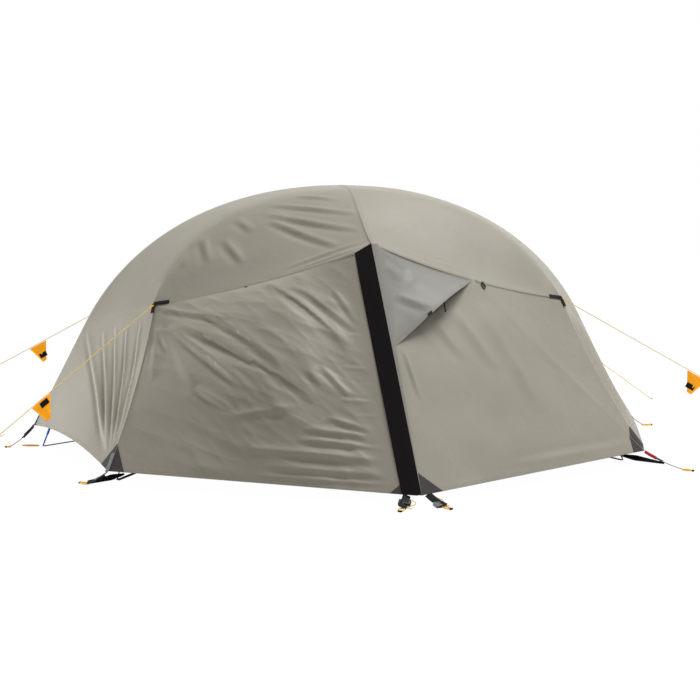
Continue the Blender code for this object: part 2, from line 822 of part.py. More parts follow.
def add_guyline(name):
    start, foot = guy_ends(name)
    along = foot - start
    finish(add_tube(f"{name}_guyline", straight(start, foot, 18), CORD_RADIUS), YELLOW, 0.7)
    lie = basis(along, Vector((0, 0, 1)))
    bore = bar_mesh(CORD_RADIUS + RUNNING_GAP, 2 * TENSIONER_LENGTH)
    body = box_mesh((TENSIONER_LENGTH, TENSIONER_WIDTH, TENSIONER_THICK))
    tensioner = add_mesh(f"{name}_tensioner", body)
    tensioner.matrix_world = Matrix.Translation(guy_point(name, GUYLINES[name]["tensioner"])) @ lie
    cut(tensioner, add_cutter(f"{name}_tensioner_bore", bore, tensioner))
    finish(tensioner, BLACK, 0.45)
    if GUYLINES[name]["pouch"]:
        add_pouch(name, along)


def add_pouch(name, along):
    """A fabric pouch for the spare cord, sewn on below the guyline; it narrows to its foot."""
    hang = guy_point(name, GUYLINES[name]["pouch"])
    flat = Vector((along.x, along.y, 0)).normalized()
    side = Vector((0, 0, 1)).cross(flat) * (POUCH_THICK / 2)
    fall = along.normalized()
    down = Vector((0, 0, -1))
    rim = CORD_RADIUS + RUNNING_GAP
    outline = [
        hang + down * rim / flat.dot(fall),
        hang + fall * POUCH_WIDTH + down * rim / flat.dot(fall),
        hang + fall * POUCH_WIDTH + down * POUCH_LIP,
        hang + fall * POUCH_FOOT + down * POUCH_DROP,
        hang + down * POUCH_DROP,
    ]
    bm = bmesh.new()
    face = bm.faces.new([bm.verts.new(point - side) for point in outline])
    moved = bmesh.ops.extrude_face_region(bm, geom=[face])["geom"]
    bmesh.ops.translate(bm, vec=2 * side, verts=[v for v in moved if isinstance(v, bmesh.types.BMVert)])
    bmesh.ops.recalc_face_normals(bm, faces=bm.faces)
    finish(add_mesh(f"{name}_pouch", bm), ORANGE, 0.7)


def main():
    for obj in list(bpy.data.objects):
        bpy.data.objects.remove(obj)
    add_poles()
    add_tips()
    add_clips()
    add_flysheet()
    add_inner_canopy()
    add_inner_floor()
    add_hem_straps()
    for name in GUYLINES:
        add_guyline(name)


main()
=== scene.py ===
"""Looks of the dome tent: flysheet, doors, inner tent, webbing, guylines and the studio stage."""

import math

import bmesh
import bpy
import numpy as np
from mathutils import Matrix, Vector


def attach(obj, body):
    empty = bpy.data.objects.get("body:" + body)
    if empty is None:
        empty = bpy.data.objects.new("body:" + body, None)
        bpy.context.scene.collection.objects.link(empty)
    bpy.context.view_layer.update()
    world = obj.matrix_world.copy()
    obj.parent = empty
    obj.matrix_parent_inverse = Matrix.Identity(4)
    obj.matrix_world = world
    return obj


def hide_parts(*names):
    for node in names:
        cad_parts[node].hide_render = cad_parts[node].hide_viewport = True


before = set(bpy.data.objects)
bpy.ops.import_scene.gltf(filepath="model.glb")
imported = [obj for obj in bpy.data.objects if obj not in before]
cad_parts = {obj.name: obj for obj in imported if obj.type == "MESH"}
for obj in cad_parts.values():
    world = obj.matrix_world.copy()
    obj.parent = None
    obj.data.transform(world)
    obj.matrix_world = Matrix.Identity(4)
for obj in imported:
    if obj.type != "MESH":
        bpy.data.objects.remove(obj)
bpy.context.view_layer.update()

bl_info = {
    "name": "Dome tent looks",
    "version": (1, 0, 0),
    "blender": (4, 5, 0),
    "location": "View3D > Sidebar > Tent",
    "description": "Dresses the dome tent's frame with cloth, webbing and cords",
    "category": "Object",
}


def point(x, y, z):
    return np.array((x, y, z), float)


def unit(vectors):
    return vectors / np.linalg.norm(vectors, axis=-1, keepdims=True)


UP = point(0, 0, 1)
RIGHT = point(1, 0, 0)
FLAT = point(1, 1, 0)
INSIDE = point(0, 0, 0.30)
ENDS = (("front", 1), ("back", -1))
SIDES = (("left", -1), ("right", 1))
# The back is the front turned half round
TURN = {"front": point(1, 1, 1), "back": point(-1, -1, 1)}

# Corners of the flysheet in the quarter with X above 0 and Y below 0
TOP = point(0, 0, 1.050)
BREAK = point(0, -0.200, 1.034)
EAVE = point(0, -0.681, 0.827)
TAB = point(0.797, -0.463, 0.606)
SHOULDER = point(1.045, 0, 0.500)
END = point(1.258, 0, 0.088)
CORNER = point(0.990, -0.866, 0.060)
TIP = point(0, -1.340, 0.032)
EAVE_SAG = point(0, 0, -0.027)
LEG_SAG = -unit(TAB * FLAT) * 0.018
# How far the handles of the curves over the poles and the ridge reach, from top to foot
SPINE_HANDLES = (0.50, 0.38)
HOOP_HANDLES = (0.42, 0.33)
RIDGE_FLAT_HANDLE = 0.07
RIDGE_DROP_HANDLES = (0.12, 0.13)
END_HEM_ARCH = point(0, 0, 0.036)
SPINE_FOOT = point(1.225, 0, 0.003)
HOOP_FOOT = point(0.955, -0.745, 0.003)

# Door, vent and zip
VENT_SHARE = 0.506
VENT_TIP = EAVE + (TAB - EAVE) * VENT_SHARE + EAVE_SAG * 4 * VENT_SHARE * (1 - VENT_SHARE)
VENT_FOOT = EAVE + (TIP - EAVE) * 0.433
HINGE = unit(CORNER - VENT_TIP)
DOOR_OUT = unit(np.cross(VENT_FOOT - VENT_TIP, HINGE))
ZIP_DOWN = unit(TIP - EAVE)
ZIP_OUT = unit(np.cross(ZIP_DOWN, RIGHT))
ZIP_PITCH = 0.0026
ZIP_LIFT = 0.003
TOOTH_SIZE = (0.0016, 0.0058, 0.0030)
SLIDER_SIZE = (0.015, 0.0086, 0.0060)
SLIDER_CHANNEL = (0.03, 0.0064, 0.0040)
SLIDER_CHANNEL_DROP = 0.0014
SLIDER_LIFT = 0.0012
SLIDER_PULL_LIFT = 0.0040
ZIP_TOP_GAP = 0.035
ZIP_FOOT_GAP = 0.020
SLIDER_REST = 0.036
HOOD_LIFT = 0.070
HOOD_BULGE = 1.6
HOOD_PULL_SHARE = 0.66
HOOD_PULL_REACH = 0.014
STRUT_LEAN = (0.052, 0.030, 0.026)

# Storm flap: how far it laps the zip at its top, how much less at its foot, and how it stands off the cloth
FLAP_WIDTH = 0.064
FLAP_LAP = 0.020
FLAP_TAPER = 0.0265
FLAP_LIFT = 0.0105
FLAP_SEAM_LIFT = 0.0035
FLAP_RIPPLE = 0.0010
FLAP_RIPPLES = 11
FLAP_CROWN = 0.0012
LIP_REACH = 0.0074
LIP_LIFT = 0.0104
LIP_TUCK = 0.004
FIXED_SIDE = point(0.0035, 0, 0)
DOOR_SIDE = point(0.0080, 0, 0)
HINGE_CLEARANCE = 0.0045
EAVE_OUT = unit(point(0.25, -0.72, 0.64))
TAB_OUT = unit(point(0.60, -0.52, 0.58))

# Cloth: how far it bellies, dips and is drawn in over a pole, and where its folds die out by a seam
PANEL_BELLY = 0.078
HOOD_DIP = 0.018
HOOP_BEND = 0.045
HOOP_DRAW = 0.0085
FOLD_CALM = 0.035
CREASE_CALM = 0.05

# Hem straps: reach from the hem to the peg, and how far they stand on edge
END_REACH = 0.100
DOOR_CORNER_REACH = 0.155
FIXED_CORNER_REACH = 0.100
TIP_REACH = 0.085
STRAP_STEPS = 20
STRAP_TURN = math.radians(62)
STRAP_SAG = 0.12
STRAP_LIFT = 0.0009
STRAP_RIPPLE = 0.0003
HEM_DROP = 0.0020
PEG_HEIGHT = 0.002
TIP_STRAP_OFFSET = 0.036
LOCK_THICKNESS = 0.0056
TIP_LOCK_THICKNESS = 0.012
PATCH_LIFT = 0.0018
PATCH_THICKNESS = 0.0010

# Bands: width and thickness
STRAP_THICKNESS = 0.0020
PEG_STRAP_THICKNESS = 0.0018
FLAP_THICKNESS = 0.0018
LIP_THICKNESS = 0.0012
ZIP_TAPE = (0.016, 0.001)
HOOD_PULL = (0.010, 0.002)
STRUT_WEBBING = (0.010, 0.002)
GUY_TAB = (0.016, 0.0022)
EAVE_HEM = (0.012, 0.0012)
LEG_HEM = (0.008, 0.0008)
RIDGE_SEAM = (0.012, 0.0008)
PATCH_TAPE = (0.020, 0.0018)
FLOOR_TAB = (0.020, 0.0018)
POUCH_PATCH = (0.021, 0.0016)

# Loops of cord: length and width, and the radius of the cord
SLIDER_PULL = (0.030, 0.006)
TAB_LOOP = (0.030, 0.010)
TOGGLE_LOOP = (0.034, 0.012)
FLOOR_LOOP = (0.070, 0.020)
PEG_LOOP_LENGTH = 0.040
PEG_LOOP_WIDTH = 0.020
SLIDER_PULL_RADIUS = 0.0009
TAB_LOOP_RADIUS = 0.0014
TOGGLE_LOOP_RADIUS = 0.0013
FLOOR_LOOP_RADIUS = 0.0022
PEG_LOOP_RADIUS = 0.0023
STRAP_CORD_RADIUS = 0.0015
LOOP_GRIP_RADIUS = 0.0034
LOOP_GRIP_HALF = 0.006
PULL_CORD_RADIUS = 0.0014

# Guylines
GUY_FEET = {
    "front_left": (-1.603, -0.966),
    "front_right": (1.850, -0.680),
    "back_left": (-1.860, 0.900),
    "back_right": (1.710, 0.725),
}
TENSIONER_SHARE = {"front_left": 0.72, "front_right": 0.72, "back_left": 0.66, "back_right": 0.66}
POUCH_SHARE = {"front_left": 0.475, "front_right": 0.470, "back_left": 0.390}
POUCH_SIZE = 0.088
POUCH_STEPS = 22
POUCH_TAPER = 0.78
POUCH_DROP = 0.004
POUCH_SWELL = 0.0100
POUCH_CREASE = 0.0012
POUCH_FLAT = (0.085, 0.09)
POUCH_PATCH_REACH = 0.018
POUCH_PATCH_LIFT = 0.0092
TIED_CORD = 0.9
KNOT_SIZE = 0.0011
KNOT_DEPTH = 0.0016
KNOT_LIFT = 0.0032
TAIL_LENGTH = 0.05
TAB_GAP = 0.0027
GUY_FOOT_HEIGHT = 0.0031

# Inner tent
TRAY_LEVELS = (0.0, 0.03, 0.06, 0.09, 0.118)
TRAY_RIPPLES = 22
TRAY_RIPPLE = 0.003
TRAY_LEAN = 0.004
FLOOR_TAB_HEIGHTS = (0.026, 0.0022)
FLOOR_LOOP_PLACE = point(1.240, 0, 0.0045)
PEG_STRAP_START = point(0.930, -0.770, 0.0280)
PEG_STRAP_WIDTHS = ((0, 0.35, 1), (0.007, 0.022, 0.007))
TRAY_THICKNESS = 0.0012
CANOPY_THICKNESS = 0.0008
CANOPY_HANG = 0.018
CANOPY_INSET = 0.055
CANOPY_FOOT_INSET = 0.080
CANOPY_FOOT = 0.1208
RAIL_STEPS = 8
DOORWAY = ((0.30, 0.20), (0.192, 0.606))

# Folds: start and end as shares across and down the panel, half width and height in millimetres
SIDE_FOLDS = (
    (0.92, 0.18, 0.74, 0.57, 24, 3.5), (0.74, 0.57, 0.6, 0.69, 16, 5.0), (0.9, 0.18, 0.535, 0.6, 17, 7.0),
    (0.85, 0.18, 0.295, 0.655, 17, 9.5), (0.76, 0.11, 0.405, 0.505, 16, 7.5),
    (0.48, 0.04, 0.16, 0.415, 17, 7.0), (0.38, 0.08, 0.12, 0.35, 13, 4.0),
    (0.2, 0.145, 0.11, 0.33, 11, 3.0), (0.27, 0.5, 0.18, 0.625, 13, 4.0),
    (0.32, 0.52, 0.27, 0.59, 12, 3.0), (0.35, 0.77, 0.11, 0.785, 12, 4.5),
    (0.265, 0.715, 0.11, 0.765, 12, 4.5), (0.37, 0.815, 0.13, 0.82, 12, 4.5),
    (0.54, 0.86, 0.06, 0.88, 15, 5.5), (0.59, 0.72, 0.355, 0.685, 16, 4.0),
    (0.49, 0.93, 0.06, 0.935, 12, 4.0), (0.515, 0.972, 0.04, 0.968, 10, 3.0),
    (0.955, 0.14, 0.86, 0.42, 15, 1.5), (0.965, 0.16, 0.93, 0.5, 14, 1.8),
    (0.95, 0.05, 0.62, 0.22, 13, 4.0), (0.02, 0.3, 0.14, 0.285, 7, 2.2), (0.02, 0.37, 0.17, 0.36, 8, 2.6),
    (0.02, 0.44, 0.13, 0.43, 7, 2.0), (0.02, 0.52, 0.2, 0.5, 8, 2.6), (0.02, 0.58, 0.14, 0.575, 7, 2.2),
    (0.02, 0.65, 0.22, 0.64, 8, 2.8), (0.02, 0.71, 0.16, 0.7, 7, 2.4), (0.02, 0.83, 0.24, 0.825, 8, 2.8),
)
ROOF_FOLDS = (
    (0.305, 0.085, 0.0, 0.435, 12, 4.0), (0.335, 0.195, 0.025, 0.62, 14, 5.0),
    (0.335, 0.285, 0.13, 0.76, 15, 6.0), (0.195, 0.05, 0.05, 0.24, 10, 3.0),
    (0.705, 0.02, 0.77, 0.23, 16, 3.0), (0.6, 0.045, 0.66, 0.455, 16, 4.0),
    (0.54, 0.27, 0.525, 0.64, 16, 4.0), (0.45, 0.095, 0.42, 0.34, 15, 3.0),
    (0.385, 0.86, 0.025, 0.79, 9, 3.0), (0.35, 0.935, 0.005, 0.885, 7, 2.5),
)
SMOOTH_ROOF_FOLDS = (
    (0.25, 0.35, 0.04, 0.7, 18, 1.6), (0.42, 0.85, 0.03, 0.83, 10, 1.4),
)
END_FOLDS = (
    (0.89, 0.1, 0.085, 0.925, 13, 7.5), (0.63, 0.13, 0.06, 0.925, 12, 7.5),
    (0.48, 0.105, 0.04, 0.9, 10, 6.5), (0.31, 0.105, 0.02, 0.875, 9, 6.5),
    (0.13, 0.1, 0.01, 0.845, 9, 5.0),
)
DOOR_FOLDS = (
    (0.34, 0.04, 0.36, 0.42, 30, 3.5), (0.55, 0.02, 0.52, 0.3, 24, 3.0), (0.12, 0.1, 0.3, 0.7, 34, 3.0),
    (0.02, 0.95, 0.6, 0.93, 18, 1.6), (0.93, 0.04, 0.9, 0.42, 10, 3.5),
)
HOOD_FOLDS = (
    (0.12, 0.62, 0.55, 0.45, 24, -5.0), (0.45, 0.3, 0.6, 0.62, 18, 3.0),
    (0.55, 0.85, 0.97, 0.62, 20, 4.0),
)

# Section of a band: shares of its half width, and of its thickness there
BAND_SECTION = ((-1, 0.35), (-0.8, 1), (-0.3, 1), (0.3, 1), (0.8, 1), (1, 0.35))
TUBE_SIDES = 8
BAND_WAVE = 0.03

# Angles in degrees up to which edges are smoothed
CLOTH_ANGLE, BAND_ANGLE, MOULD_ANGLE = 50, 40, 35

# Moulded pieces
MOULD_ROUND = 0.0018
TOOTH_ROUND = 0.0006
SLIDER_ROUND = 0.0015
TOGGLE_ROUND = 0.0022
TOGGLE_SIZE = (0.026, 0.0065, 0.0065)
RUNNER_SIZE = (0.027, 0.0105, 0.0055)
RUNNER_HOLES = (-0.0085, 0.0, 0.0085)
HOLE_RADIUS = 0.0019
LOCK_LENGTH = 0.026
LOCK_RIM = 0.014
LOCK_SLOTS = (-0.0062, 0.0048)
LOCK_SLOT_WIDTH = 0.0046
LOCK_SLOT_SPARE = 0.002

# Patterns of the materials: sizes in millimetres
SLACK_SHADE_PATCH = 312.5
CRINKLE = 38.46
LINT = 16.67
FLECK = 6.25
DRAWN_LINE = 4.545
GRAIN = 1.111
# Length of one band of the wave texture at a scale of 1
WAVE_BAND = 0.31
# Stitches: distance between their two rows, where a line starts and is full in it, and how far in they run
STITCH_ROWS = 0.004
STITCH_LINE = (0.0026, 0.0036)
STITCHED_EDGE = 0.0125

# Stage: lamps have a place, a target, a size, a power in watts and a spread in degrees
LAMPS = (
    ("top_light", (4.0, 0.7, 10.5), (0, 0, 0.4), 4.6, 980, 180),
    ("left_light", (-5.0, 1.9, 0.45), (-1.06, -0.42, 0.35), 0.85, 2.8, 18),
)
SKY_STRENGTH = 0.21
LENS_LENGTH = 72.0
SENSOR_WIDTH = 36.0
CAMERA_PLACE = (-1.1087, -5.7097, 1.0147)
CAMERA_TURN = (math.pi / 2 - 0.1112, 0, -0.1985)

# Sizes and colours


def length_property(name, description, length):
    return bpy.props.FloatProperty(name=name, description=description, default=length, unit="LENGTH")


def linear(code):
    """Linear colour of an sRGB hex code."""
    channels = [int(code[i : i + 2], 16) / 255 for i in (1, 3, 5)]
    return tuple(c / 12.92 if c <= 0.04045 else ((c + 0.055) / 1.055) ** 2.4 for c in channels)


def colour_property(name, description, code):
    return bpy.props.FloatVectorProperty(
        name=name, description=description, default=linear(code), size=3, min=0, max=1, subtype="COLOR"
    )


class TentSizes(bpy.types.PropertyGroup):
    """Sizes of the cloth and of the trim sewn to it."""

    cloth_thickness: length_property("Cloth thickness", "Thickness of the flysheet at its edges", 0.0010)
    fold_depth: bpy.props.FloatProperty(
        name="Fold depth",
        description="How far the folds in the cloth stand out, as a share of their drawn height",
        default=1.75,
        subtype="FACTOR",
    )
    ripstop_spacing: length_property("Ripstop spacing", "Distance between the cloth's thicker threads", 0.006)
    webbing_width: length_property("Webbing width", "Width of the straps at the hem", 0.018)
    cord_diameter: length_property("Guyline diameter", "Diameter of the guylines", 0.0030)


class TentColours(bpy.types.PropertyGroup):
    """Colours of the tent's materials."""

    fly: colour_property("Flysheet", "Sand of the coated ripstop", "#AEA89A")
    # Painted shade: the hood's darker, cooler grey stands for the light that shines through the flysheet from
    # behind but not through the hood.
    hood: colour_property("Vent hood", "Cooler grey of the hood's cloth", "#999790")
    flap: colour_property("Storm flap", "Black of the twill over the zip", "#161313")
    patch: colour_property("Reinforcement", "Dark grey of the corner patches", "#4C4B49")
    webbing_grey: colour_property("Grey webbing", "Light grey of the corner straps", "#8C8D8C")
    webbing_black: colour_property("Black webbing", "Black of the tabs and floor straps", "#161617")
    webbing_red: colour_property("Red webbing", "Red of the marked corner straps", "#B4202A")
    cord: colour_property("Guyline", "Pale yellow of the guylines", "#E4C674")
    loop: colour_property("Peg loop", "Yellow of the elastic peg loops", "#F5B832")
    pouch: colour_property("Cord pouch", "Orange of the cord pouches", "#FFA61C")
    inner: colour_property("Inner tent", "Pale grey of the breathable inner", "#C9C7BF")
    tray: colour_property("Floor", "Black of the coated floor", "#26272A")


# Materials


def add_node(tree, kind, settings=None, **links):
    """Adds a shader node; settings are its properties or socket values, links are sockets to join."""
    node = tree.nodes.new(kind)
    for key, value in (settings or {}).items():
        if isinstance(key, str) and hasattr(node, key):
            setattr(node, key, value)
        else:
            node.inputs[key].default_value = value
    for key, source in links.items():
        numbered = key[0] == "i" and key[1:].isdigit()
        tree.links.new(source, node.inputs[int(key[1:]) if numbered else key])
    return node


def maths(tree, operation, first, second):
    """Result of an operation on a socket and on a number or another socket."""
    node = add_node(tree, "ShaderNodeMath", {"operation": operation}, i0=first)
    if isinstance(second, float):
        node.inputs[1].default_value = second
    else:
        tree.links.new(second, node.inputs[1])
    return node.outputs["Value"]


def pattern(tree, kind, settings, on_cloth=False):
    """A texture over the piece's own space, or over its cloth laid flat."""
    if on_cloth:
        place = add_node(tree, "ShaderNodeUVMap", {"uv_map": "cloth"}).outputs["UV"]
    else:
        place = add_node(tree, "ShaderNodeTexCoord").outputs["Object"]
    return add_node(tree, f"ShaderNodeTex{kind}", settings, Vector=place).outputs


def per_metre(size):
    """How often a size in millimetres fits in a metre, which is the scale of a texture."""
    return 1000 / size


def toned(tree, shader, source, colour, first, last):
    """Base colour that goes from one share of the colour to another along the source."""
    ramp = add_node(tree, "ShaderNodeValToRGB", Fac=source)
    for element, share in zip(ramp.color_ramp.elements, (first, last)):
        element.color = rgba(colour, share)
    tree.links.new(ramp.outputs["Color"], shader.inputs["Base Color"])
    return ramp


def bumped(tree, shader, height, strength, distance, invert=False):
    """Adds a bump over the shader's last one."""
    bump = add_node(
        tree, "ShaderNodeBump", {"Strength": strength, "Distance": distance, "invert": invert}, Height=height
    )
    normal = shader.inputs["Normal"]
    if normal.is_linked:
        tree.links.new(normal.links[0].from_socket, bump.inputs["Normal"])
    tree.links.new(bump.outputs["Normal"], normal)


def new_material(name, settings):
    """A material with one Principled shader, whose settings are set on its own sockets."""
    material = bpy.data.materials.new(name)
    material.use_nodes = True
    tree = material.node_tree
    shader = tree.nodes["Principled BSDF"]
    for key, value in settings.items():
        shader.inputs[key].default_value = value
    return material, tree, shader


def rgba(colour, share=1.0):
    return (*(min(1.0, c * share) for c in colour), 1.0)


def ripstop_nylon(name, colour):
    """Silicone-coated ripstop nylon, woven and dyed: an even, slightly silky sheet with a fine square grid.

    The grid is drawn at 6 mm, because the real 3 mm one is too fine to show. Large soft patches of lighter
    and darker tone are painted light and shade that stand for slack in the cloth, and a dark double line of
    stitches runs along the sewn edges.
    """
    _, tree, shader = new_material(
        name, {"Roughness": 0.45, "Specular IOR Level": 0.20, "Sheen Weight": 0.08, "Sheen Roughness": 0.45}
    )
    # Painted light and shade: soft patches of lighter and darker base colour stand for slack in the cloth.
    tone = pattern(tree, "Noise", {"Scale": per_metre(SLACK_SHADE_PATCH), "Detail": 3.0})["Fac"]
    ramp = toned(tree, shader, tone, colour, 0.93, 1.04)
    ramp.color_ramp.elements[0].position = 0.32
    ramp.color_ramp.elements[1].position = 0.70
    edge = add_node(tree, "ShaderNodeAttribute", {"attribute_name": "edge"}).outputs["Fac"]
    rows = maths(tree, "PINGPONG", edge, STITCH_ROWS)
    bare, full = STITCH_LINE
    line = add_node(tree, "ShaderNodeMapRange", {1: bare, 2: full, 3: 0.0, 4: 1.0}, i0=rows)
    near = maths(tree, "LESS_THAN", edge, STITCHED_EDGE)
    stitched = maths(tree, "MULTIPLY", line.outputs["Result"], near)
    mix = add_node(tree, "ShaderNodeMix", {"data_type": "RGBA"})
    tree.links.new(maths(tree, "MULTIPLY", stitched, 0.35), mix.inputs["Factor"])
    tree.links.new(ramp.outputs["Color"], mix.inputs["A"])
    mix.inputs["B"].default_value = rgba(colour, 0.30)
    tree.links.new(mix.outputs["Result"], shader.inputs["Base Color"])
    grid = pattern(
        tree, "Brick",
        {"offset": 0.0, "squash": 1.0, "Scale": 1.0 / bpy.context.scene.tent_sizes.ripstop_spacing,
         "Mortar Size": 0.08, "Mortar Smooth": 0.6, "Brick Width": 1.0, "Row Height": 1.0},
        on_cloth=True,
    )
    crinkle = pattern(tree, "Noise", {"Scale": per_metre(CRINKLE), "Detail": 4.0, "Roughness": 0.55})
    bumped(tree, shader, grid["Fac"], 0.10, 0.0006)
    bumped(tree, shader, crinkle["Fac"], 0.35, 0.004)
    bumped(tree, shader, stitched, 0.5, 0.0008, invert=True)


def woven_webbing(name, colour, rib=0.0024, roughness=0.75, painted_glow=0.0, shine=0.18):
    """Polyester webbing, woven flat: cross ribs along its length and a little lint; rib is their spacing.

    A glow can be added: painted light that makes the cloth look brighter than its lamps light it.
    """
    # Painted light: the emission makes the cloth glow, though it is no lamp.
    _, tree, shader = new_material(
        name,
        {"Roughness": roughness, "Specular IOR Level": shine,
         "Emission Color": rgba(colour), "Emission Strength": painted_glow},
    )
    lint = pattern(tree, "Noise", {"Scale": per_metre(LINT), "Detail": 2.0})["Fac"]
    toned(tree, shader, lint, colour, 0.86, 1.14)
    bands = {"wave_type": "BANDS", "bands_direction": "DIAGONAL", "Scale": WAVE_BAND / rib}
    bumped(tree, shader, pattern(tree, "Wave", bands, on_cloth=True)["Fac"], 0.5, 0.0004)


def braided_cord(name, colour):
    """Polyester guyline, braided: pale strands with darker flecks that repeat every few millimetres.

    It also glows a little: painted light that makes the cord look brighter than its lamps light it.
    """
    # Painted light: the emission makes the cord glow, though it is no lamp.
    _, tree, shader = new_material(
        name,
        {"Roughness": 0.6, "Specular IOR Level": 0.35,
         "Emission Color": rgba(colour), "Emission Strength": 0.30},
    )
    flecks = pattern(tree, "Voronoi", {"Scale": per_metre(FLECK)})["Distance"]
    toned(tree, shader, flecks, colour, 1.15, 0.70)
    bumped(tree, shader, flecks, 0.6, 0.0003)


def anodised_alloy(name, code, roughness=0.32):
    """Anodised aluminium tube, drawn and dyed: a satin metal with faint lines from drawing."""
    _, tree, shader = new_material(name, {"Metallic": 1.0, "Roughness": roughness})
    lines = pattern(tree, "Noise", {"Scale": per_metre(DRAWN_LINE), "Detail": 2.0})["Fac"]
    toned(tree, shader, lines, linear(code), 0.85, 1.12)


def moulded_nylon(name, code, roughness=0.42):
    """Nylon, injection moulded: a dark satin skin with a spark-eroded grain.

    The grain is drawn at about a millimetre, because the real one is too fine to show.
    """
    _, tree, shader = new_material(name, {"Roughness": roughness, "IOR": 1.53})
    grain = pattern(tree, "Noise", {"Scale": per_metre(GRAIN), "Detail": 2.0})["Fac"]
    toned(tree, shader, grain, linear(code), 0.80, 1.25)
    bumped(tree, shader, grain, 0.25, 0.0002)


def materials():
    """The tent's materials by name, made once."""
    if not bpy.data.materials.get("ripstop_nylon_sand"):
        colours = bpy.context.scene.tent_colours
        ripstop_nylon("ripstop_nylon_sand", colours.fly)
        # The hood's cloth gets a darker, cooler grey: painted shade for the light that does not shine through
        # it from behind.
        ripstop_nylon("ripstop_nylon_hood_painted_shade", colours.hood)
        ripstop_nylon("breathable_nylon_pale", colours.inner)
        ripstop_nylon("coated_nylon_floor", colours.tray)
        woven_webbing("polyester_twill_black", colours.flap, 0.0030, 0.80, shine=0.11)
        woven_webbing("polyester_patch_grey", colours.patch, 0.0030, 0.70)
        woven_webbing("webbing_grey", colours.webbing_grey)
        woven_webbing("webbing_black", colours.webbing_black)
        woven_webbing("webbing_red", colours.webbing_red)
        # The pouch glows: painted light that makes it brighter than its lamps light it.
        woven_webbing("polyester_pouch_orange", colours.pouch, 0.0030, 0.60, painted_glow=0.45)
        # Guylines and peg loops glow a little: painted light.
        braided_cord("guyline_pale_yellow", colours.cord)
        braided_cord("elastic_loop_yellow", colours.loop)
        anodised_alloy("anodised_alloy_blue", "#2E5FB4")
        anodised_alloy("anodised_alloy_red", "#B0252B")
        anodised_alloy("anodised_alloy_silver", "#C9CBCE", 0.28)
        moulded_nylon("moulded_nylon_black", "#1A1A1C")
        moulded_nylon("moulded_nylon_grey", "#7D7F80", 0.38)
    return bpy.data.materials


# Lines and sheets


def bezier(start, start_handle, end_handle, end, count):
    t = np.linspace(0, 1, count + 1)[:, None]
    return (
        start * (1 - t) ** 3 + start_handle * 3 * t * (1 - t) ** 2
        + end_handle * 3 * t * t * (1 - t) + end * t**3
    )


def sagged(start, end, sag, count, first=0.0, last=1.0):
    """A line that sags in its middle, or the stretch of it between two shares of its length."""
    t = np.linspace(first, last, count + 1)[:, None]
    return start + (end - start) * t + sag * 4 * t * (1 - t)


def straight(start, end, count):
    return sagged(start, end, np.zeros(3), count)


def pinched(place, count):
    """A line that shrinks to one place."""
    return np.repeat(place[None], count + 1, 0)


def spine_line(count):
    top, foot = SPINE_HANDLES
    lift = unit(SHOULDER - END) * foot
    return bezier(TOP, TOP + RIGHT * top, SHOULDER + lift, SHOULDER, count)


def hoop_line(count):
    top, foot = HOOP_HANDLES
    lift = unit(TAB - CORNER) * foot
    return bezier(BREAK, BREAK + RIGHT * top, TAB + lift, TAB, count)


def ridge_lines(flat_count, drop_count):
    """The ridge seam in two runs: flat over the poles, then down to the eave."""
    fall = unit(point(0, -1, -0.165))
    flare = unit(point(0, 1, -0.09))
    reach, (top, foot) = RIDGE_FLAT_HANDLE, RIDGE_DROP_HANDLES
    flat = bezier(TOP, TOP - point(0, reach, 0), BREAK - fall * reach, BREAK, flat_count)
    return flat, bezier(BREAK, BREAK + fall * top, EAVE + flare * foot, EAVE, drop_count)


def eave_line(count, first=0.0, last=1.0):
    return sagged(EAVE, TAB, EAVE_SAG, count, first, last)


def leg_seam(count):
    return sagged(TAB, CORNER, LEG_SAG, count)


def end_hem(count):
    return sagged(CORNER, END, END_HEM_ARCH, count)


def coons(low, high, left, right):
    """Grid of points filling four edges: low and high run the same way, left and right from low to high."""
    u = np.linspace(0, 1, len(low))[None, :, None]
    v = np.linspace(0, 1, len(left))[:, None, None]
    ruled = low[None] * (1 - v) + high[None] * v + left[:, None] * (1 - u) + right[:, None] * u
    corners = (low[0] * (1 - u) + low[-1] * u) * (1 - v) + (high[0] * (1 - u) + high[-1] * u) * v
    return ruled - corners


def roof_panels():
    """The roof over one quarter: its top, from the spine to the hoop, and its front, down to the eave."""
    flat, drop = ridge_lines(30, 60)
    top = coons(spine_line(96), hoop_line(96), flat, straight(SHOULDER, TAB, 30))
    return over_hoop(top, coons(hoop_line(96), eave_line(96), drop, pinched(TAB, 60)))


def end_panel():
    return coons(straight(TAB, SHOULDER, 130), end_hem(130), leg_seam(100), straight(SHOULDER, END, 100))


def side_panel():
    eave = eave_line(200)
    eave[0] += FIXED_SIDE
    foot = TIP + FIXED_SIDE
    return coons(eave, straight(foot, CORNER, 200), straight(EAVE + FIXED_SIDE, foot, 200), leg_seam(200))


def gusset():
    """The narrow panel between the door's hinge line and the leg."""
    tuck = np.clip(12 * np.sin(np.linspace(0, np.pi, 101)), 0, 1)[:, None]
    hinge = straight(VENT_TIP, CORNER, 100) + (np.cross(HINGE, DOOR_OUT) * 0.008 - DOOR_OUT * 0.0012) * tuck
    return coons(eave_line(50, VENT_SHARE), pinched(CORNER, 50), hinge, leg_seam(100))


def door_leaf():
    top, foot = VENT_FOOT + DOOR_SIDE, TIP + DOOR_SIDE
    runs = ((VENT_TIP, top), (CORNER, foot), (VENT_TIP, CORNER), (top, foot))
    return coons(*(straight(start, end, 120) for start, end in runs))


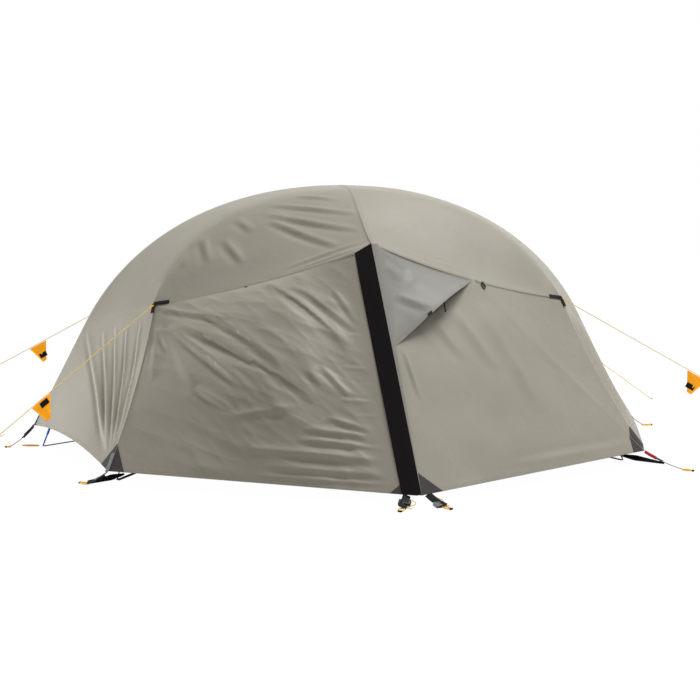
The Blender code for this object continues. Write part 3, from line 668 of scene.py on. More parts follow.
def vent_hood():
    eave = eave_line(60, 0.0, VENT_SHARE)
    eave[0] += DOOR_SIDE
    bulge = np.sin(np.linspace(0, np.pi, 61))[:, None] ** HOOD_BULGE
    foot = VENT_FOOT + DOOR_SIDE
    mouth = straight(VENT_TIP, foot, 60) + DOOR_OUT * HOOD_LIFT * bulge
    return coons(eave, straight(EAVE + DOOR_SIDE, foot, 60), pinched(eave[0], 60), mouth)


def vent_baffle():
    """Cloth behind the vent's mouth, a little inside the door, from the mouth up under the hood."""
    low = straight(VENT_TIP, VENT_FOOT + point(0.012, 0, 0), 40) - DOOR_OUT * 0.0025 + HINGE * 0.010
    top = EAVE + point(0.030, 0, 0) - DOOR_OUT * 0.034
    return coons(low, pinched(top, 40), straight(low[0], top, 40), straight(low[-1], top, 40))


def normals_of(grid):
    """Outward normals at the grid's points."""
    normals = np.cross(np.gradient(grid, axis=1), np.gradient(grid, axis=0))
    normals /= np.maximum(np.linalg.norm(normals, axis=2, keepdims=True), 1e-12)
    middle = grid.shape[0] // 2, grid.shape[1] // 2
    return normals if normals[middle] @ (grid[middle] - INSIDE) > 0 else -normals


def edge_distance(grid, sides=("low", "high", "left", "right")):
    """Distance of each point from the named edges of the grid."""
    edges = {"low": grid[0], "high": grid[-1], "left": grid[:, 0], "right": grid[:, -1]}
    least = np.full(grid.shape[:2], 1.0)
    for side in sides:
        for row, points in enumerate(grid):
            gaps = np.linalg.norm(points[:, None] - edges[side][None], axis=2).min(axis=1)
            least[row] = np.minimum(least[row], gaps)
    return least


def smooth_step(values, low, high):
    t = np.clip((values - low) / (high - low), 0, 1)
    return t * t * (3 - 2 * t)


def folded(grid, folds, depth, slack, seed):
    """The grid with its folds and a gentle slack in millimetres, both dying out towards the sewn edges."""
    normals = normals_of(grid)
    rows, columns = grid.shape[0] - 1, grid.shape[1] - 1
    height = np.zeros(grid.shape[:2])
    for u0, v0, u1, v1, width, rise in folds:
        start = grid[round(v0 * rows), round(u0 * columns)]
        along = grid[round(v1 * rows), round(u1 * columns)] - start
        share = np.clip((grid - start) @ along / (along @ along), 0, 1)
        offset = grid - start - share[..., None] * along
        gap = np.linalg.norm(offset, axis=2) / (width / 1000)
        side = np.sign(np.einsum("ijk,ijk->ij", np.cross(normals, along), offset))
        crest = np.exp(-(gap**1.5)) - 0.6 * np.exp(-((gap * side + 1.5) ** 2))
        height += crest * np.sin(np.pi * share) ** 0.7 * rise / 1000
    turn = np.random.default_rng(seed)
    for _ in range(7):
        wave = turn.normal(size=3)
        wave *= 2 * np.pi / turn.uniform(0.16, 0.40) / np.linalg.norm(wave)
        height += np.sin(grid @ wave + turn.uniform(0, 6.28)) / 7 * slack / 1000
    calm = smooth_step(edge_distance(grid), 0.0, FOLD_CALM)
    return grid + normals * (height * calm * depth)[..., None]


def crinkled(grid, seed):
    """The grid with fine creases that run from the guyline's tab down towards the foot of the zip."""
    rows, columns = grid.shape[:2]
    u, v = np.meshgrid(np.linspace(0, 1, columns), np.linspace(0, 1, rows))
    across = 0.68 * u + 0.73 * v
    along = 0.68 * v - 0.73 * u
    turn = np.random.default_rng(seed)
    height = np.zeros((rows, columns))
    for _ in range(14):
        often = turn.uniform(5, 15)
        shift = turn.uniform(0, 6.28, 3)
        bend = 0.035 * np.sin(2 * np.pi * turn.uniform(0.8, 2.0) * along + shift[0])
        ridge = 1 - np.abs(np.sin(np.pi * often * (across + bend) + shift[1]))
        waves = turn.uniform(0.8, 1.8) * along + turn.uniform(-1, 1) * across
        patchy = np.clip(np.sin(2 * np.pi * waves + shift[2]), 0, 1)
        height += ridge**1.6 * patchy**1.5 * turn.uniform(0.014, 0.030) / often
    calm = smooth_step(edge_distance(grid), 0.0, CREASE_CALM)
    lower_left = 1 - 0.75 * smooth_step(u, 0.55, 0.85) * smooth_step(v, 0.35, 0.60)
    return grid + normals_of(grid) * (height * calm * lower_left)[..., None]


def over_hoop(top, front):
    """The two roof panels with the crease between them drawn into the soft bend of cloth over a pole."""
    rows, columns = len(top) - 1, top.shape[1]
    lines = np.concatenate([top, front[1:]])
    for column in range(columns):
        line = lines[:, column].copy()
        along = run_of(line)
        along -= along[rows]
        share = np.gradient(along)
        hold = smooth_step(0.17 - np.abs(along), 0, 0.09) * smooth_step(along[-1] - along, 0.005, 0.09)
        hold *= smooth_step(column / (columns - 1), 0.04, 0.22) * smooth_step(along[-1], 0.04, 0.20)
        reach = HOOP_BEND
        for _ in range(3):
            near = np.exp(-(((along[:, None] - along[None]) / reach) ** 2) / 2) * share
            soft = near @ line / np.maximum(near.sum(axis=1), 1e-9)[:, None]
            drawn_in = (soft - line) * hold[:, None]
            reach *= min(1, HOOP_DRAW / max(np.linalg.norm(drawn_in, axis=1).max(), 1e-9))
        lines[:, column] = line + drawn_in
    return lines[: rows + 1], lines[rows:]


def run_of(path):
    """Length along the path up to each of its points."""
    return np.concatenate([[0], np.cumsum(np.linalg.norm(np.diff(path, axis=0), axis=1))])


# Meshes


def carry(obj, body="tent", node=None, slot=None):
    """Rides the piece on its body, in place of the frame's node that it stands for."""
    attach(obj, body)
    if node:
        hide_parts(node)
    return obj


def add_mesh(name, points, faces, material, uvs):
    mesh = bpy.data.meshes.new(name)
    mesh.from_pydata([tuple(p) for p in points], [], [tuple(f) for f in faces])
    layer = mesh.uv_layers.new(name="cloth")
    loops = np.empty(len(mesh.loops), np.int32)
    mesh.loops.foreach_get("vertex_index", loops)
    layer.data.foreach_set("uv", np.asarray(uvs, float)[loops].ravel())
    mesh.materials.append(materials()[material])
    obj = bpy.data.objects.new(name, mesh)
    bpy.context.scene.collection.objects.link(obj)
    return obj


def grid_faces(rows, columns, first=0):
    index = np.arange(rows * columns).reshape(rows, columns) + first
    return np.stack([index[:-1, :-1], index[:-1, 1:], index[1:, 1:], index[1:, :-1]], -1).reshape(-1, 4)


def tube_faces(index):
    """Faces between rings of points: each row of the index has the numbers of one ring."""
    after = np.roll(index, -1, 1)
    return np.stack([index[:-1], after[:-1], after[1:], index[1:]], -1).reshape(-1, 4)


def flat_map(width, length, columns, rows):
    """Places of a grid's points on the flat cloth, in metres."""
    flat = np.meshgrid(np.linspace(0, width, columns), np.linspace(0, length, rows))
    return np.stack(flat, -1).reshape(-1, 2)


def only_select(obj):
    bpy.ops.object.select_all(action="DESELECT")
    obj.select_set(True)
    bpy.context.view_layer.objects.active = obj


def apply_modifiers(obj):
    only_select(obj)
    for modifier in list(obj.modifiers):
        bpy.ops.object.modifier_apply(modifier=modifier.name)


def thicken(obj, thickness):
    """Gives a sheet its thickness, inward from its outer face."""
    solidify = obj.modifiers.new("thickness", "SOLIDIFY")
    solidify.thickness = thickness
    solidify.offset = -1.0
    apply_modifiers(obj)


def smooth_by_angle(obj, degrees):
    only_select(obj)
    bpy.ops.object.shade_smooth_by_angle(angle=math.radians(degrees))


def face_out(obj, merge=0.0, sheet=False):
    """Merges points that meet and turns the faces out; those of a sheet turn away from the tent's middle."""
    shell = bmesh.new()
    shell.from_mesh(obj.data)
    if merge:
        bmesh.ops.remove_doubles(shell, verts=shell.verts, dist=merge)
    if sheet:
        bmesh.ops.dissolve_degenerate(shell, edges=shell.edges, dist=1e-6)
    bmesh.ops.recalc_face_normals(shell, faces=shell.faces)
    inside = Vector(INSIDE)
    facing = sum(f.normal.dot(f.calc_center_median() - inside) * f.calc_area() for f in shell.faces)
    if sheet and facing < 0:
        bmesh.ops.reverse_faces(shell, faces=shell.faces)
    shell.to_mesh(obj.data)
    shell.free()
    obj.data.shade_smooth()


def mark_seams(obj, distances):
    """Notes how far each point is from a sewn edge, because stitches show along it."""
    edge = obj.data.attributes.new("edge", "FLOAT", "POINT")
    edge.data.foreach_set("value", np.ones(len(obj.data.vertices)) * distances)


def far_from_seams(obj):
    """Marks a piece without a sewn edge, so that its cloth shows no stitches."""
    mark_seams(obj, 1.0)


def add_cloth(name, grids, material, sewn, thickness=None):
    """One sheet of cloth through the grids, welded where they meet, with its thickness."""
    points, faces, uvs, edges = [], [], [], []
    count = 0
    for grid in grids:
        rows, columns = grid.shape[:2]
        width = np.linalg.norm(np.diff(grid, axis=1), axis=2).sum(axis=1).max()
        length = np.linalg.norm(np.diff(grid, axis=0), axis=2).sum(axis=0).max()
        points.append(grid.reshape(-1, 3))
        uvs.append(flat_map(width, length, columns, rows))
        edges.append(edge_distance(grid, sewn).ravel())
        faces.append(grid_faces(rows, columns, count))
        count += rows * columns
    obj = add_mesh(name, np.concatenate(points), np.concatenate(faces), material, np.concatenate(uvs))
    mark_seams(obj, np.concatenate(edges))
    face_out(obj, merge=1e-5, sheet=True)
    thicken(obj, thickness or bpy.context.scene.tent_sizes.cloth_thickness)
    smooth_by_angle(obj, CLOTH_ANGLE)
    return obj


def add_sheet(name, node, grids, sewn, body="tent", material="ripstop_nylon_sand"):
    """A sheet of the flysheet through the grids, carried on its body in place of its node."""
    obj = carry(add_cloth(name, grids, material, sewn), body, node, "fly_cloth" if node else None)


def add_band(name, path, across, width, thickness, material, wave=0.0, flip=1, **carried):
    """A flat strip along the path: across is the direction of its width at each point."""
    path = path * flip
    across = np.broadcast_to(across * flip, path.shape)
    normal = unit(np.cross(np.gradient(path, axis=0), across))
    run = run_of(path)
    middle = path + (np.sin(run * 2 * np.pi / BAND_WAVE) * wave)[:, None] * normal
    half = across * np.broadcast_to(width, len(path))[:, None] / 2
    loops, uvs = [], []
    for side in (1, -1):
        for share, thin in BAND_SECTION[::side]:
            loops.append(middle + half * share + normal * side * thickness / 2 * thin)
            uvs.append(np.stack([run, np.full(len(run), share * 0.01)], -1))
    points = np.stack(loops, 1).reshape(-1, 3)
    index = np.arange(len(points)).reshape(len(path), -1)
    faces = [*tube_faces(index), index[0, ::-1], index[-1]]
    obj = add_mesh(name, points, faces, material, np.stack(uvs, 1).reshape(-1, 2))
    face_out(obj)
    smooth_by_angle(obj, BAND_ANGLE)
    return carry(obj, **carried)


def add_tube(name, path, radius, material, closed=False, flip=1, **carried):
    """A round cord along the path, closed into a loop or with flat ends."""
    path = path * flip
    ahead = np.roll(path, -1, 0) - np.roll(path, 1, 0) if closed else np.gradient(path, axis=0)
    tangent = unit(ahead)
    side = np.cross(tangent[0], UP if abs(tangent[0][2]) < 0.9 else RIGHT)
    angles = np.arange(TUBE_SIDES)[:, None] * 2 * np.pi / TUBE_SIDES
    rings = []
    for centre, along in zip(path, tangent):
        side = unit(side - along * (side @ along))
        rings.append(centre + radius * (np.cos(angles) * side + np.sin(angles) * np.cross(along, side)))
    points = np.concatenate(rings)
    index = np.arange(len(points)).reshape(len(path), TUBE_SIDES)
    if closed:
        faces = tube_faces(np.concatenate([index, index[:1]]))
    else:
        faces = [*tube_faces(index), index[0, ::-1], index[-1]]
    obj = add_mesh(name, points, faces, material, np.zeros((len(points), 2)))
    face_out(obj)
    return carry(obj, **carried)


def ring_path(centre, along, across, length, width, count=20):
    """A long loop that starts at the centre and reaches along."""
    t = np.linspace(0, 2 * np.pi, count, endpoint=False)[:, None]
    return centre + along * length * (1 - np.cos(t)) / 2 + across * width / 2 * np.sin(t)


# Small moulded pieces


def box(size, centre=(0, 0, 0)):
    bpy.ops.object.select_all(action="DESELECT")
    bpy.ops.mesh.primitive_cube_add(size=1, location=centre)
    obj = bpy.context.active_object
    obj.scale = size
    bpy.ops.object.transform_apply(location=True, rotation=False, scale=True)
    return obj


def block(name, size, round_edges, material):
    """A box of the size with rounded edges, at the origin."""
    obj = box(size)
    obj.name = name
    bpy.ops.object.mode_set(mode="EDIT")
    bpy.ops.mesh.select_all(action="SELECT")
    bpy.ops.mesh.bevel(offset=round_edges, segments=3, affect="EDGES")
    bpy.ops.object.mode_set(mode="OBJECT")
    obj.data.materials.append(materials()[material])
    return obj


def bore(obj, cutters):
    """Cuts the other objects out of this one and removes them."""
    for cutter in cutters:
        boolean = obj.modifiers.new("bore", "BOOLEAN")
        boolean.operation = "DIFFERENCE"
        boolean.solver = "EXACT"
        boolean.object = cutter
    apply_modifiers(obj)
    for cutter in cutters:
        bpy.data.objects.remove(cutter)
    smooth_by_angle(obj, MOULD_ANGLE)


def hole_cutter(radius, centre):
    bpy.ops.object.select_all(action="DESELECT")
    bpy.ops.mesh.primitive_cylinder_add(vertices=20, radius=radius, depth=0.03, location=centre)
    return bpy.context.active_object


def settle(obj, centre, along, up, flip=1, **carried):
    """Turns a piece's X along and its Z as near up as it can be, in its place, and keeps that in its mesh."""
    x = Vector(along * flip).normalized()
    y = Vector(up * flip).cross(x).normalized()
    turn = Matrix((x, y, x.cross(y))).transposed().to_4x4()
    obj.matrix_world = Matrix.Translation(Vector(centre * flip)) @ turn
    only_select(obj)
    bpy.ops.object.transform_apply(location=True, rotation=True, scale=True)
    return carry(obj, **carried)


def ladder_lock(name, width, centre, along, thick, material, **carried):
    """A moulded ladder lock: a flat frame with two slots for the webbing."""
    lock = block(name, (LOCK_LENGTH, width + LOCK_RIM, thick), MOULD_ROUND, material)
    slot = (LOCK_SLOT_WIDTH, width + LOCK_SLOT_SPARE, 0.02)
    bore(lock, [box(slot, (x, 0, 0)) for x in LOCK_SLOTS])
    return settle(lock, centre, along, UP, **carried)


def cord_runner(name, centre, along, up, **carried):
    """A runner for cord: a flat moulded bar with a hole at each end and one in the middle."""
    bar = block(name, RUNNER_SIZE, MOULD_ROUND, "moulded_nylon_black")
    bore(bar, [hole_cutter(HOLE_RADIUS, (x, 0, 0)) for x in RUNNER_HOLES])
    return settle(bar, centre, along, up, **carried)


# Guylines


def guy_ends(name):
    """Start of the guyline, just off its tab, and its peg on the ground."""
    x = 1 if name.endswith("right") else -1
    y = 1 if name.startswith("front") else -1
    tab = TAB * point(x, y, 1)
    foot = point(*GUY_FEET[name], GUY_FOOT_HEIGHT)
    return tab + unit(foot - tab) * TAB_GAP, foot


def guyline(name, start, foot, radius):
    """The line itself, a round cord drawn taut from its tab to its peg."""
    curve = bpy.data.curves.new(f"{name}_guyline_cord", "CURVE")
    curve.dimensions = "3D"
    curve.bevel_depth = radius
    curve.bevel_resolution = 3
    curve.use_fill_caps = True
    path = straight(start, foot, 24)
    spline = curve.splines.new("POLY")
    spline.points.add(len(path) - 1)
    for knot, place in zip(spline.points, path):
        knot.co = (*place, 1.0)
    curve.materials.append(materials()["guyline_pale_yellow"])
    cord = bpy.data.objects.new(curve.name, curve)
    bpy.context.scene.collection.objects.link(cord)
    return carry(cord, node=f"{name}_guyline")


def knot(name, foot, along, radius):
    """The overhand knot at the ground end, where the peg holds the line."""
    t = np.linspace(0, 2 * np.pi, 36, endpoint=False)
    side = unit(np.cross(along, UP))
    up = np.cross(side, along)
    path = foot + up * KNOT_LIFT + np.outer((np.sin(t) + 2 * np.sin(2 * t)) * KNOT_SIZE, side)
    path += np.outer((np.cos(t) - 2 * np.cos(2 * t)) * KNOT_SIZE, along)
    path -= np.outer(np.sin(3 * t) * KNOT_DEPTH, up)
    return add_tube(f"{name}_guyline_knot", path, radius * TIED_CORD, "guyline_pale_yellow", closed=True)


def tail(name, first, along, across, radius):
    """The doubled end of the line above the runner."""
    t = np.linspace(0, 1, 14)[:, None]
    aside = across * (0.0024 + 0.006 * np.sin(t * 3.0))
    path = first - along * TAIL_LENGTH * t + aside - UP * 0.010 * t * t
    return add_tube(
        f"{name}_line_tail", path, radius * TIED_CORD, "guyline_pale_yellow", body=f"{name}_tensioner"
    )


def pouch(name, hang, fall, across):
    """The pouch that takes the spare line, hanging below it, with a black patch to close it."""
    count = POUCH_STEPS
    u = np.linspace(0, 1, count)[None, :, None]
    v = np.linspace(0, 1, count)[:, None, None]
    middle = hang + fall * POUCH_SIZE * (1.0 - POUCH_TAPER * v) * u - UP * (POUCH_DROP + POUCH_SIZE * v)
    swell = POUCH_SWELL * np.sin(np.pi * u) ** 0.6 * np.sin(np.pi * (v * 0.93 + 0.05)) ** 0.6
    crease = POUCH_CREASE * np.sin(14 * u + 5 * v) * np.sin(np.pi * u) * np.sin(np.pi * v)
    halves = [(middle + across * (crease + side * swell)).reshape(-1, 3) for side in (1, -1)]
    faces = np.concatenate([grid_faces(count, count), grid_faces(count, count, count**2)[:, ::-1]])
    uvs = np.tile(flat_map(*POUCH_FLAT, count, count), (2, 1))
    bag = add_mesh(f"{name}_cord_pouch", np.concatenate(halves), faces, "polyester_pouch_orange", uvs)
    face_out(bag, merge=2e-4)
    carry(bag, node=f"{name}_pouch")
    side = across if across[1] < 0 else -across
    reach, drop = (0.035, 0.0165) if name == "front_left" else (0.012, 0.062)
    spot = hang + fall * reach - UP * drop + side * POUCH_PATCH_LIFT
    path = straight(spot - fall * POUCH_PATCH_REACH, spot + fall * POUCH_PATCH_REACH, 8)
    add_band(f"{name}_pouch_patch", path, unit(np.cross(side, fall)), *POUCH_PATCH, "webbing_black")


class TENT_OT_guylines(bpy.types.Operator):
    """Guylines with their runners, end knots and cord pouches"""

    bl_idname = "tent.guylines"
    bl_label = "Guylines"

    def execute(self, context):
        radius = context.scene.tent_sizes.cord_diameter / 2
        for name in GUY_FEET:
            start, foot = guy_ends(name)
            line = foot - start
            along = unit(line)
            across = np.cross(UP, unit(along * FLAT))
            cord = guyline(name, start, foot, radius)
            body = f"{name}_tensioner"
            take_up = start + line * TENSIONER_SHARE[name]
            pieces = [
                knot(name, foot, along, radius),
                cord_runner(f"{name}_runner", take_up, along, np.cross(along, across), body=body, node=body),
                tail(name, take_up - along * 0.006, along, across, radius),
            ]
            if name in POUCH_SHARE:
                pouch(name, start + line * POUCH_SHARE[name], along, across)
        return {"FINISHED"}


# Flysheet


def bellied(grid):
    """The panel with the belly that slack cloth has between the zip and the leg."""
    rows, columns = grid.shape[:2]
    across = np.linspace(0, 1, columns)
    down = np.linspace(0, 1, rows)
    fall = np.cos(np.pi / 2 * np.clip((across - 0.45) / 0.55, 0, 1))
    swell = np.sin(np.pi * down**0.75)[:, None] * (smooth_step(across, 0.07, 0.45) * fall)[None, :]
    return grid + normals_of(grid) * (swell * PANEL_BELLY)[..., None]


class TENT_OT_flysheet(bpy.types.Operator):
    """Roof, end panels and the fixed halves of the vestibules"""

    bl_idname = "tent.flysheet"
    bl_label = "Flysheet"

    def execute(self, context):
        deep = context.scene.tent_sizes.fold_depth
        panels = roof_panels()
        roof, plain = [], []
        for number, (x, y) in enumerate(((1, 1), (-1, 1), (1, -1), (-1, -1))):
            top, front = (panel * point(x, y, 1) for panel in panels)
            folds = ROOF_FOLDS if x * y < 0 else SMOOTH_ROOF_FOLDS
            plain += [top, front]
            roof.append(folded(top, (), deep, slack=1.5, seed=number))
            roof.append(folded(front, folds, deep, slack=2.0, seed=10 + number))
        add_sheet("fly_roof_sheet", "fly_roof", roof, ("left",))
        for side, x in reversed(SIDES):
            plain = [*(end_panel() * point(x, y, 1) for y in (1, -1)), gusset() * point(x, x, 1)]
            ends = enumerate(plain[:2], 20)
            grids = [folded(panel, END_FOLDS, deep, slack=2.0, seed=seed) for seed, panel in ends]
            grids.append(folded(plain[2], (), deep, slack=1.0, seed=30))
            node = f"fly_end_{side}"
            add_sheet(f"{node}_sheet", node, grids, ("low", "high"))
        for side, flip in TURN.items():
            grid = side_panel() * point(-1, 1, 1) * flip
            slack = bellied(grid)
            fixed = folded(crinkled(slack, seed=7), SIDE_FOLDS, deep, slack=2.0, seed=40)
            below_flap = np.linalg.norm(grid - grid[:, :1], axis=2, keepdims=True)
            fixed = slack + (fixed - slack) * smooth_step(below_flap, 0.075, 0.190)
            add_sheet(
                f"{side}_side_sheet", f"{side}_side_panel", [fixed], ("low", "high"),
            )
        return {"FINISHED"}


def leaf(side, flip, deep):
    grid = door_leaf() * flip
    node = f"{side}_door"
    creased = folded(grid, DOOR_FOLDS, deep, slack=2.0, seed=50)
    add_sheet(
        f"{node}_sheet", node, [creased], ("high",), body=node
    )


def hood(side, flip):
    """The hood over the vent, the baffle behind its mouth and the tab that pulls it down."""
    grid = vent_hood() * flip
    rows, columns = (np.sin(np.pi * np.linspace(0, 1, count)) for count in grid.shape[:2])
    slack = grid - normals_of(grid) * (np.outer(rows, columns) * HOOD_DIP)[..., None]
    creased = folded(slack, HOOD_FOLDS, 1.0, slack=1.5, seed=60)
    # The hood's cloth carries painted shade: a darker grey for the light that does not shine through it from
    # behind.
    add_sheet(
        f"{side}_hood_sheet", f"{side}_vent_hood", [creased], ("low", "right"),
        material="ripstop_nylon_hood_painted_shade",
    )
    inside = vent_baffle() * flip
    add_sheet(f"{side}_vent_baffle", None, [inside], ("low",))
    lift = HOOD_LIFT * math.sin(math.pi * HOOD_PULL_SHARE) ** HOOD_BULGE + 0.002
    place = VENT_TIP + (VENT_FOOT - VENT_TIP) * HOOD_PULL_SHARE + DOOR_OUT * lift
    reach = unit(VENT_FOOT - VENT_TIP) * HOOD_PULL_REACH
    path = straight(place - reach, place + reach, 6)
    add_band(f"{side}_hood_pull", path, HINGE, *HOOD_PULL, "webbing_black", flip=flip)


def flap(side, flip):
    """The black twill flap beside the zip, and its lip of the hood's cloth, with the hood's painted shade,
    that lies over the teeth.
    """
    panel = (side_panel() * point(-1, 1, 1))[::5]
    shares = np.linspace(0, 1, len(panel))[:, None]
    aside = unit(panel[:, 12] - panel[:, 0])
    out = unit(np.cross(aside, ZIP_DOWN))
    out *= np.sign(out @ ZIP_OUT)[:, None]
    seam = straight(EAVE, TIP, len(panel) - 1)
    near = FLAP_LAP - FLAP_TAPER * shares
    inner = seam - RIGHT * near + ZIP_OUT * FLAP_LIFT
    lift = out * (FLAP_SEAM_LIFT + FLAP_RIPPLE * np.sin(FLAP_RIPPLES * shares))
    outer = seam + aside * (near + FLAP_WIDTH) + lift
    middle = (inner + outer) / 2 + ZIP_OUT * FLAP_CROWN
    wide = np.linalg.norm(inner - outer, axis=1)
    across = (inner - outer) / wide[:, None]
    add_band(
        f"{side}_flap_strip", middle, across, wide, FLAP_THICKNESS, "polyester_twill_black", flip=flip,
        node=f"{side}_storm_flap", slot="black_cloth",
    )
    edge = seam + RIGHT * LIP_REACH + ZIP_OUT * LIP_LIFT
    start = inner - across * LIP_TUCK - ZIP_OUT * 0.0002
    wide = np.maximum(np.linalg.norm(edge - start, axis=1), 0.002)
    middle = (start + edge) / 2
    # The lip is in the hood's cloth, with its painted shade.
    lip = add_band(
        f"{side}_flap_lip", middle, RIGHT, wide, LIP_THICKNESS, "ripstop_nylon_hood_painted_shade", flip=flip
    )
    far_from_seams(lip)


def fastener(side, flip):
    """The coil zip, with one tooth copied along it, its tapes and the slider."""
    start = EAVE + ZIP_DOWN * ZIP_TOP_GAP + ZIP_OUT * ZIP_LIFT
    end = TIP - ZIP_DOWN * ZIP_FOOT_GAP + ZIP_OUT * ZIP_LIFT
    teeth = block(f"{side}_zip_teeth", TOOTH_SIZE, TOOTH_ROUND, "moulded_nylon_black")
    repeat = teeth.modifiers.new("teeth", "ARRAY")
    repeat.use_relative_offset = False
    repeat.use_constant_offset = True
    repeat.constant_offset_displace = (ZIP_PITCH, 0, 0)
    repeat.count = int(np.linalg.norm(end - start) / ZIP_PITCH)
    apply_modifiers(teeth)
    settle(teeth, start, ZIP_DOWN, ZIP_OUT, flip, node=f"{side}_zip")
    tape = straight(EAVE, TIP - ZIP_DOWN * 0.004, 40) + RIGHT * 0.004 - ZIP_OUT * 0.005
    add_band(f"{side}_zip_tape", tape, RIGHT, *ZIP_TAPE, "polyester_twill_black", flip=flip)
    place = TIP - ZIP_DOWN * SLIDER_REST + ZIP_OUT * ZIP_LIFT
    node = f"{side}_zip_slider"
    slider = block(f"{side}_slider_body", SLIDER_SIZE, SLIDER_ROUND, "moulded_nylon_black")
    bore(slider, [box(SLIDER_CHANNEL, (0, 0, -SLIDER_CHANNEL_DROP))])
    settle(slider, place + ZIP_OUT * SLIDER_LIFT, ZIP_DOWN, ZIP_OUT, flip, body=node, node=node)
    pull = ring_path(place + ZIP_OUT * SLIDER_PULL_LIFT, ZIP_DOWN, RIGHT, *SLIDER_PULL)
    add_tube(
        f"{side}_slider_pull", pull, SLIDER_PULL_RADIUS, "webbing_black", closed=True, flip=flip, body=node
    )


def strut(side, flip):
    """The stiffened webbing strut that props the hood open."""
    mouth = unit(VENT_FOOT - VENT_TIP)
    hang = (VENT_TIP + VENT_FOOT) / 2 + DOOR_OUT * (HOOD_LIFT - 0.0030) - HINGE * 0.003
    back, down, aside = STRUT_LEAN
    path = straight(hang, hang - DOOR_OUT * back + HINGE * down - mouth * aside, 12)
    node = f"{side}_vent_strut"
    add_band(
        f"{side}_strut_webbing", path, mouth, *STRUT_WEBBING, "webbing_black", flip=flip, body=node, node=node
    )


class TENT_OT_doors(bpy.types.Operator):
    """Door leaves, vent hoods, zips, sliders and storm flaps"""

    bl_idname = "tent.doors"
    bl_label = "Doors and vents"

    def execute(self, context):
        for side, flip in TURN.items():
            leaf(side, flip, context.scene.tent_sizes.fold_depth)
            hood(side, flip)
            flap(side, flip)
            fastener(side, flip)
            strut(side, flip)
        return {"FINISHED"}


# Inner tent


def inner_rails():
    """Lines up the inner tent from its foot: below the spine, below a hoop and midway between hoop ends."""
    rails = []
    for upper, centre, foot in (
        (spine_line(RAIL_STEPS), TOP, SPINE_FOOT), (hoop_line(RAIL_STEPS), BREAK, HOOP_FOOT)
    ):
        hung = upper + unit(point(0, centre[1], SHOULDER[2]) - upper) * CANOPY_HANG
        line = np.concatenate([straight(foot, hung[-1], RAIL_STEPS)[2:], hung[::-1][1:-2]])
        count = np.arange(len(line))
        inset = CANOPY_INSET + CANOPY_FOOT_INSET * np.maximum(0, 1 - count / 6)[:, None]
        rail = line - unit(line * FLAT) * inset - UP * CANOPY_INSET
        rail[:, 2] += (CANOPY_FOOT - rail[0, 2]) * (1 - count / len(rail))
        rails.append(rail)
    return *rails, rails[1] * point(0, 1, 1)


def inner_ring(level, rails, steps):
    """The closed line round the inner tent at one level of its rails."""
    end, corner, middle = (rail[level] for rail in rails)
    stops = []
    for x, y in ((1, 1), (-1, 1), (-1, -1), (1, -1)):
        run = [end, corner, middle] if x * y > 0 else [middle, corner, end]
        stops += [p * point(x, y, 1) for p in run[:-1]]
    ring = []
    for a, b in zip(stops, stops[1:] + stops[:1]):
        ring += [a + (b - a) * i / steps for i in range(steps)]
    return np.array(ring)


def canopy():
    """The inner canopy, hung a little slack between its lines, open at its two doorways."""
    rails = inner_rails()
    rows = np.array([inner_ring(level, rails, 3) for level in range(len(rails[0]))])
    rows[-1, :, 2] = rows[-1, :, 2].mean()
    points = rows.reshape(-1, 3)
    index = np.arange(len(points)).reshape(rows.shape[:2])
    faces = tube_faces(index)
    x, y, z = np.abs(points[faces].mean(axis=1)).T
    (half_width, set_out), (sill, head) = DOORWAY
    faces = faces[~((x < half_width) & (y > set_out) & (sill < z) & (z < head))]
    obj = add_mesh(
        "inner_canopy_sheet", points, [*faces, index[-1]], "breathable_nylon_pale", points[:, :2]
    )
    far_from_seams(obj)
    face_out(obj)
    smooth = obj.modifiers.new("slack", "SUBSURF")
    smooth.levels = 2
    smooth.render_levels = 2
    smooth.boundary_smooth = "PRESERVE_CORNERS"
    thicken(obj, CANOPY_THICKNESS)
    carry(obj, node="inner_canopy", slot="inner_cloth")


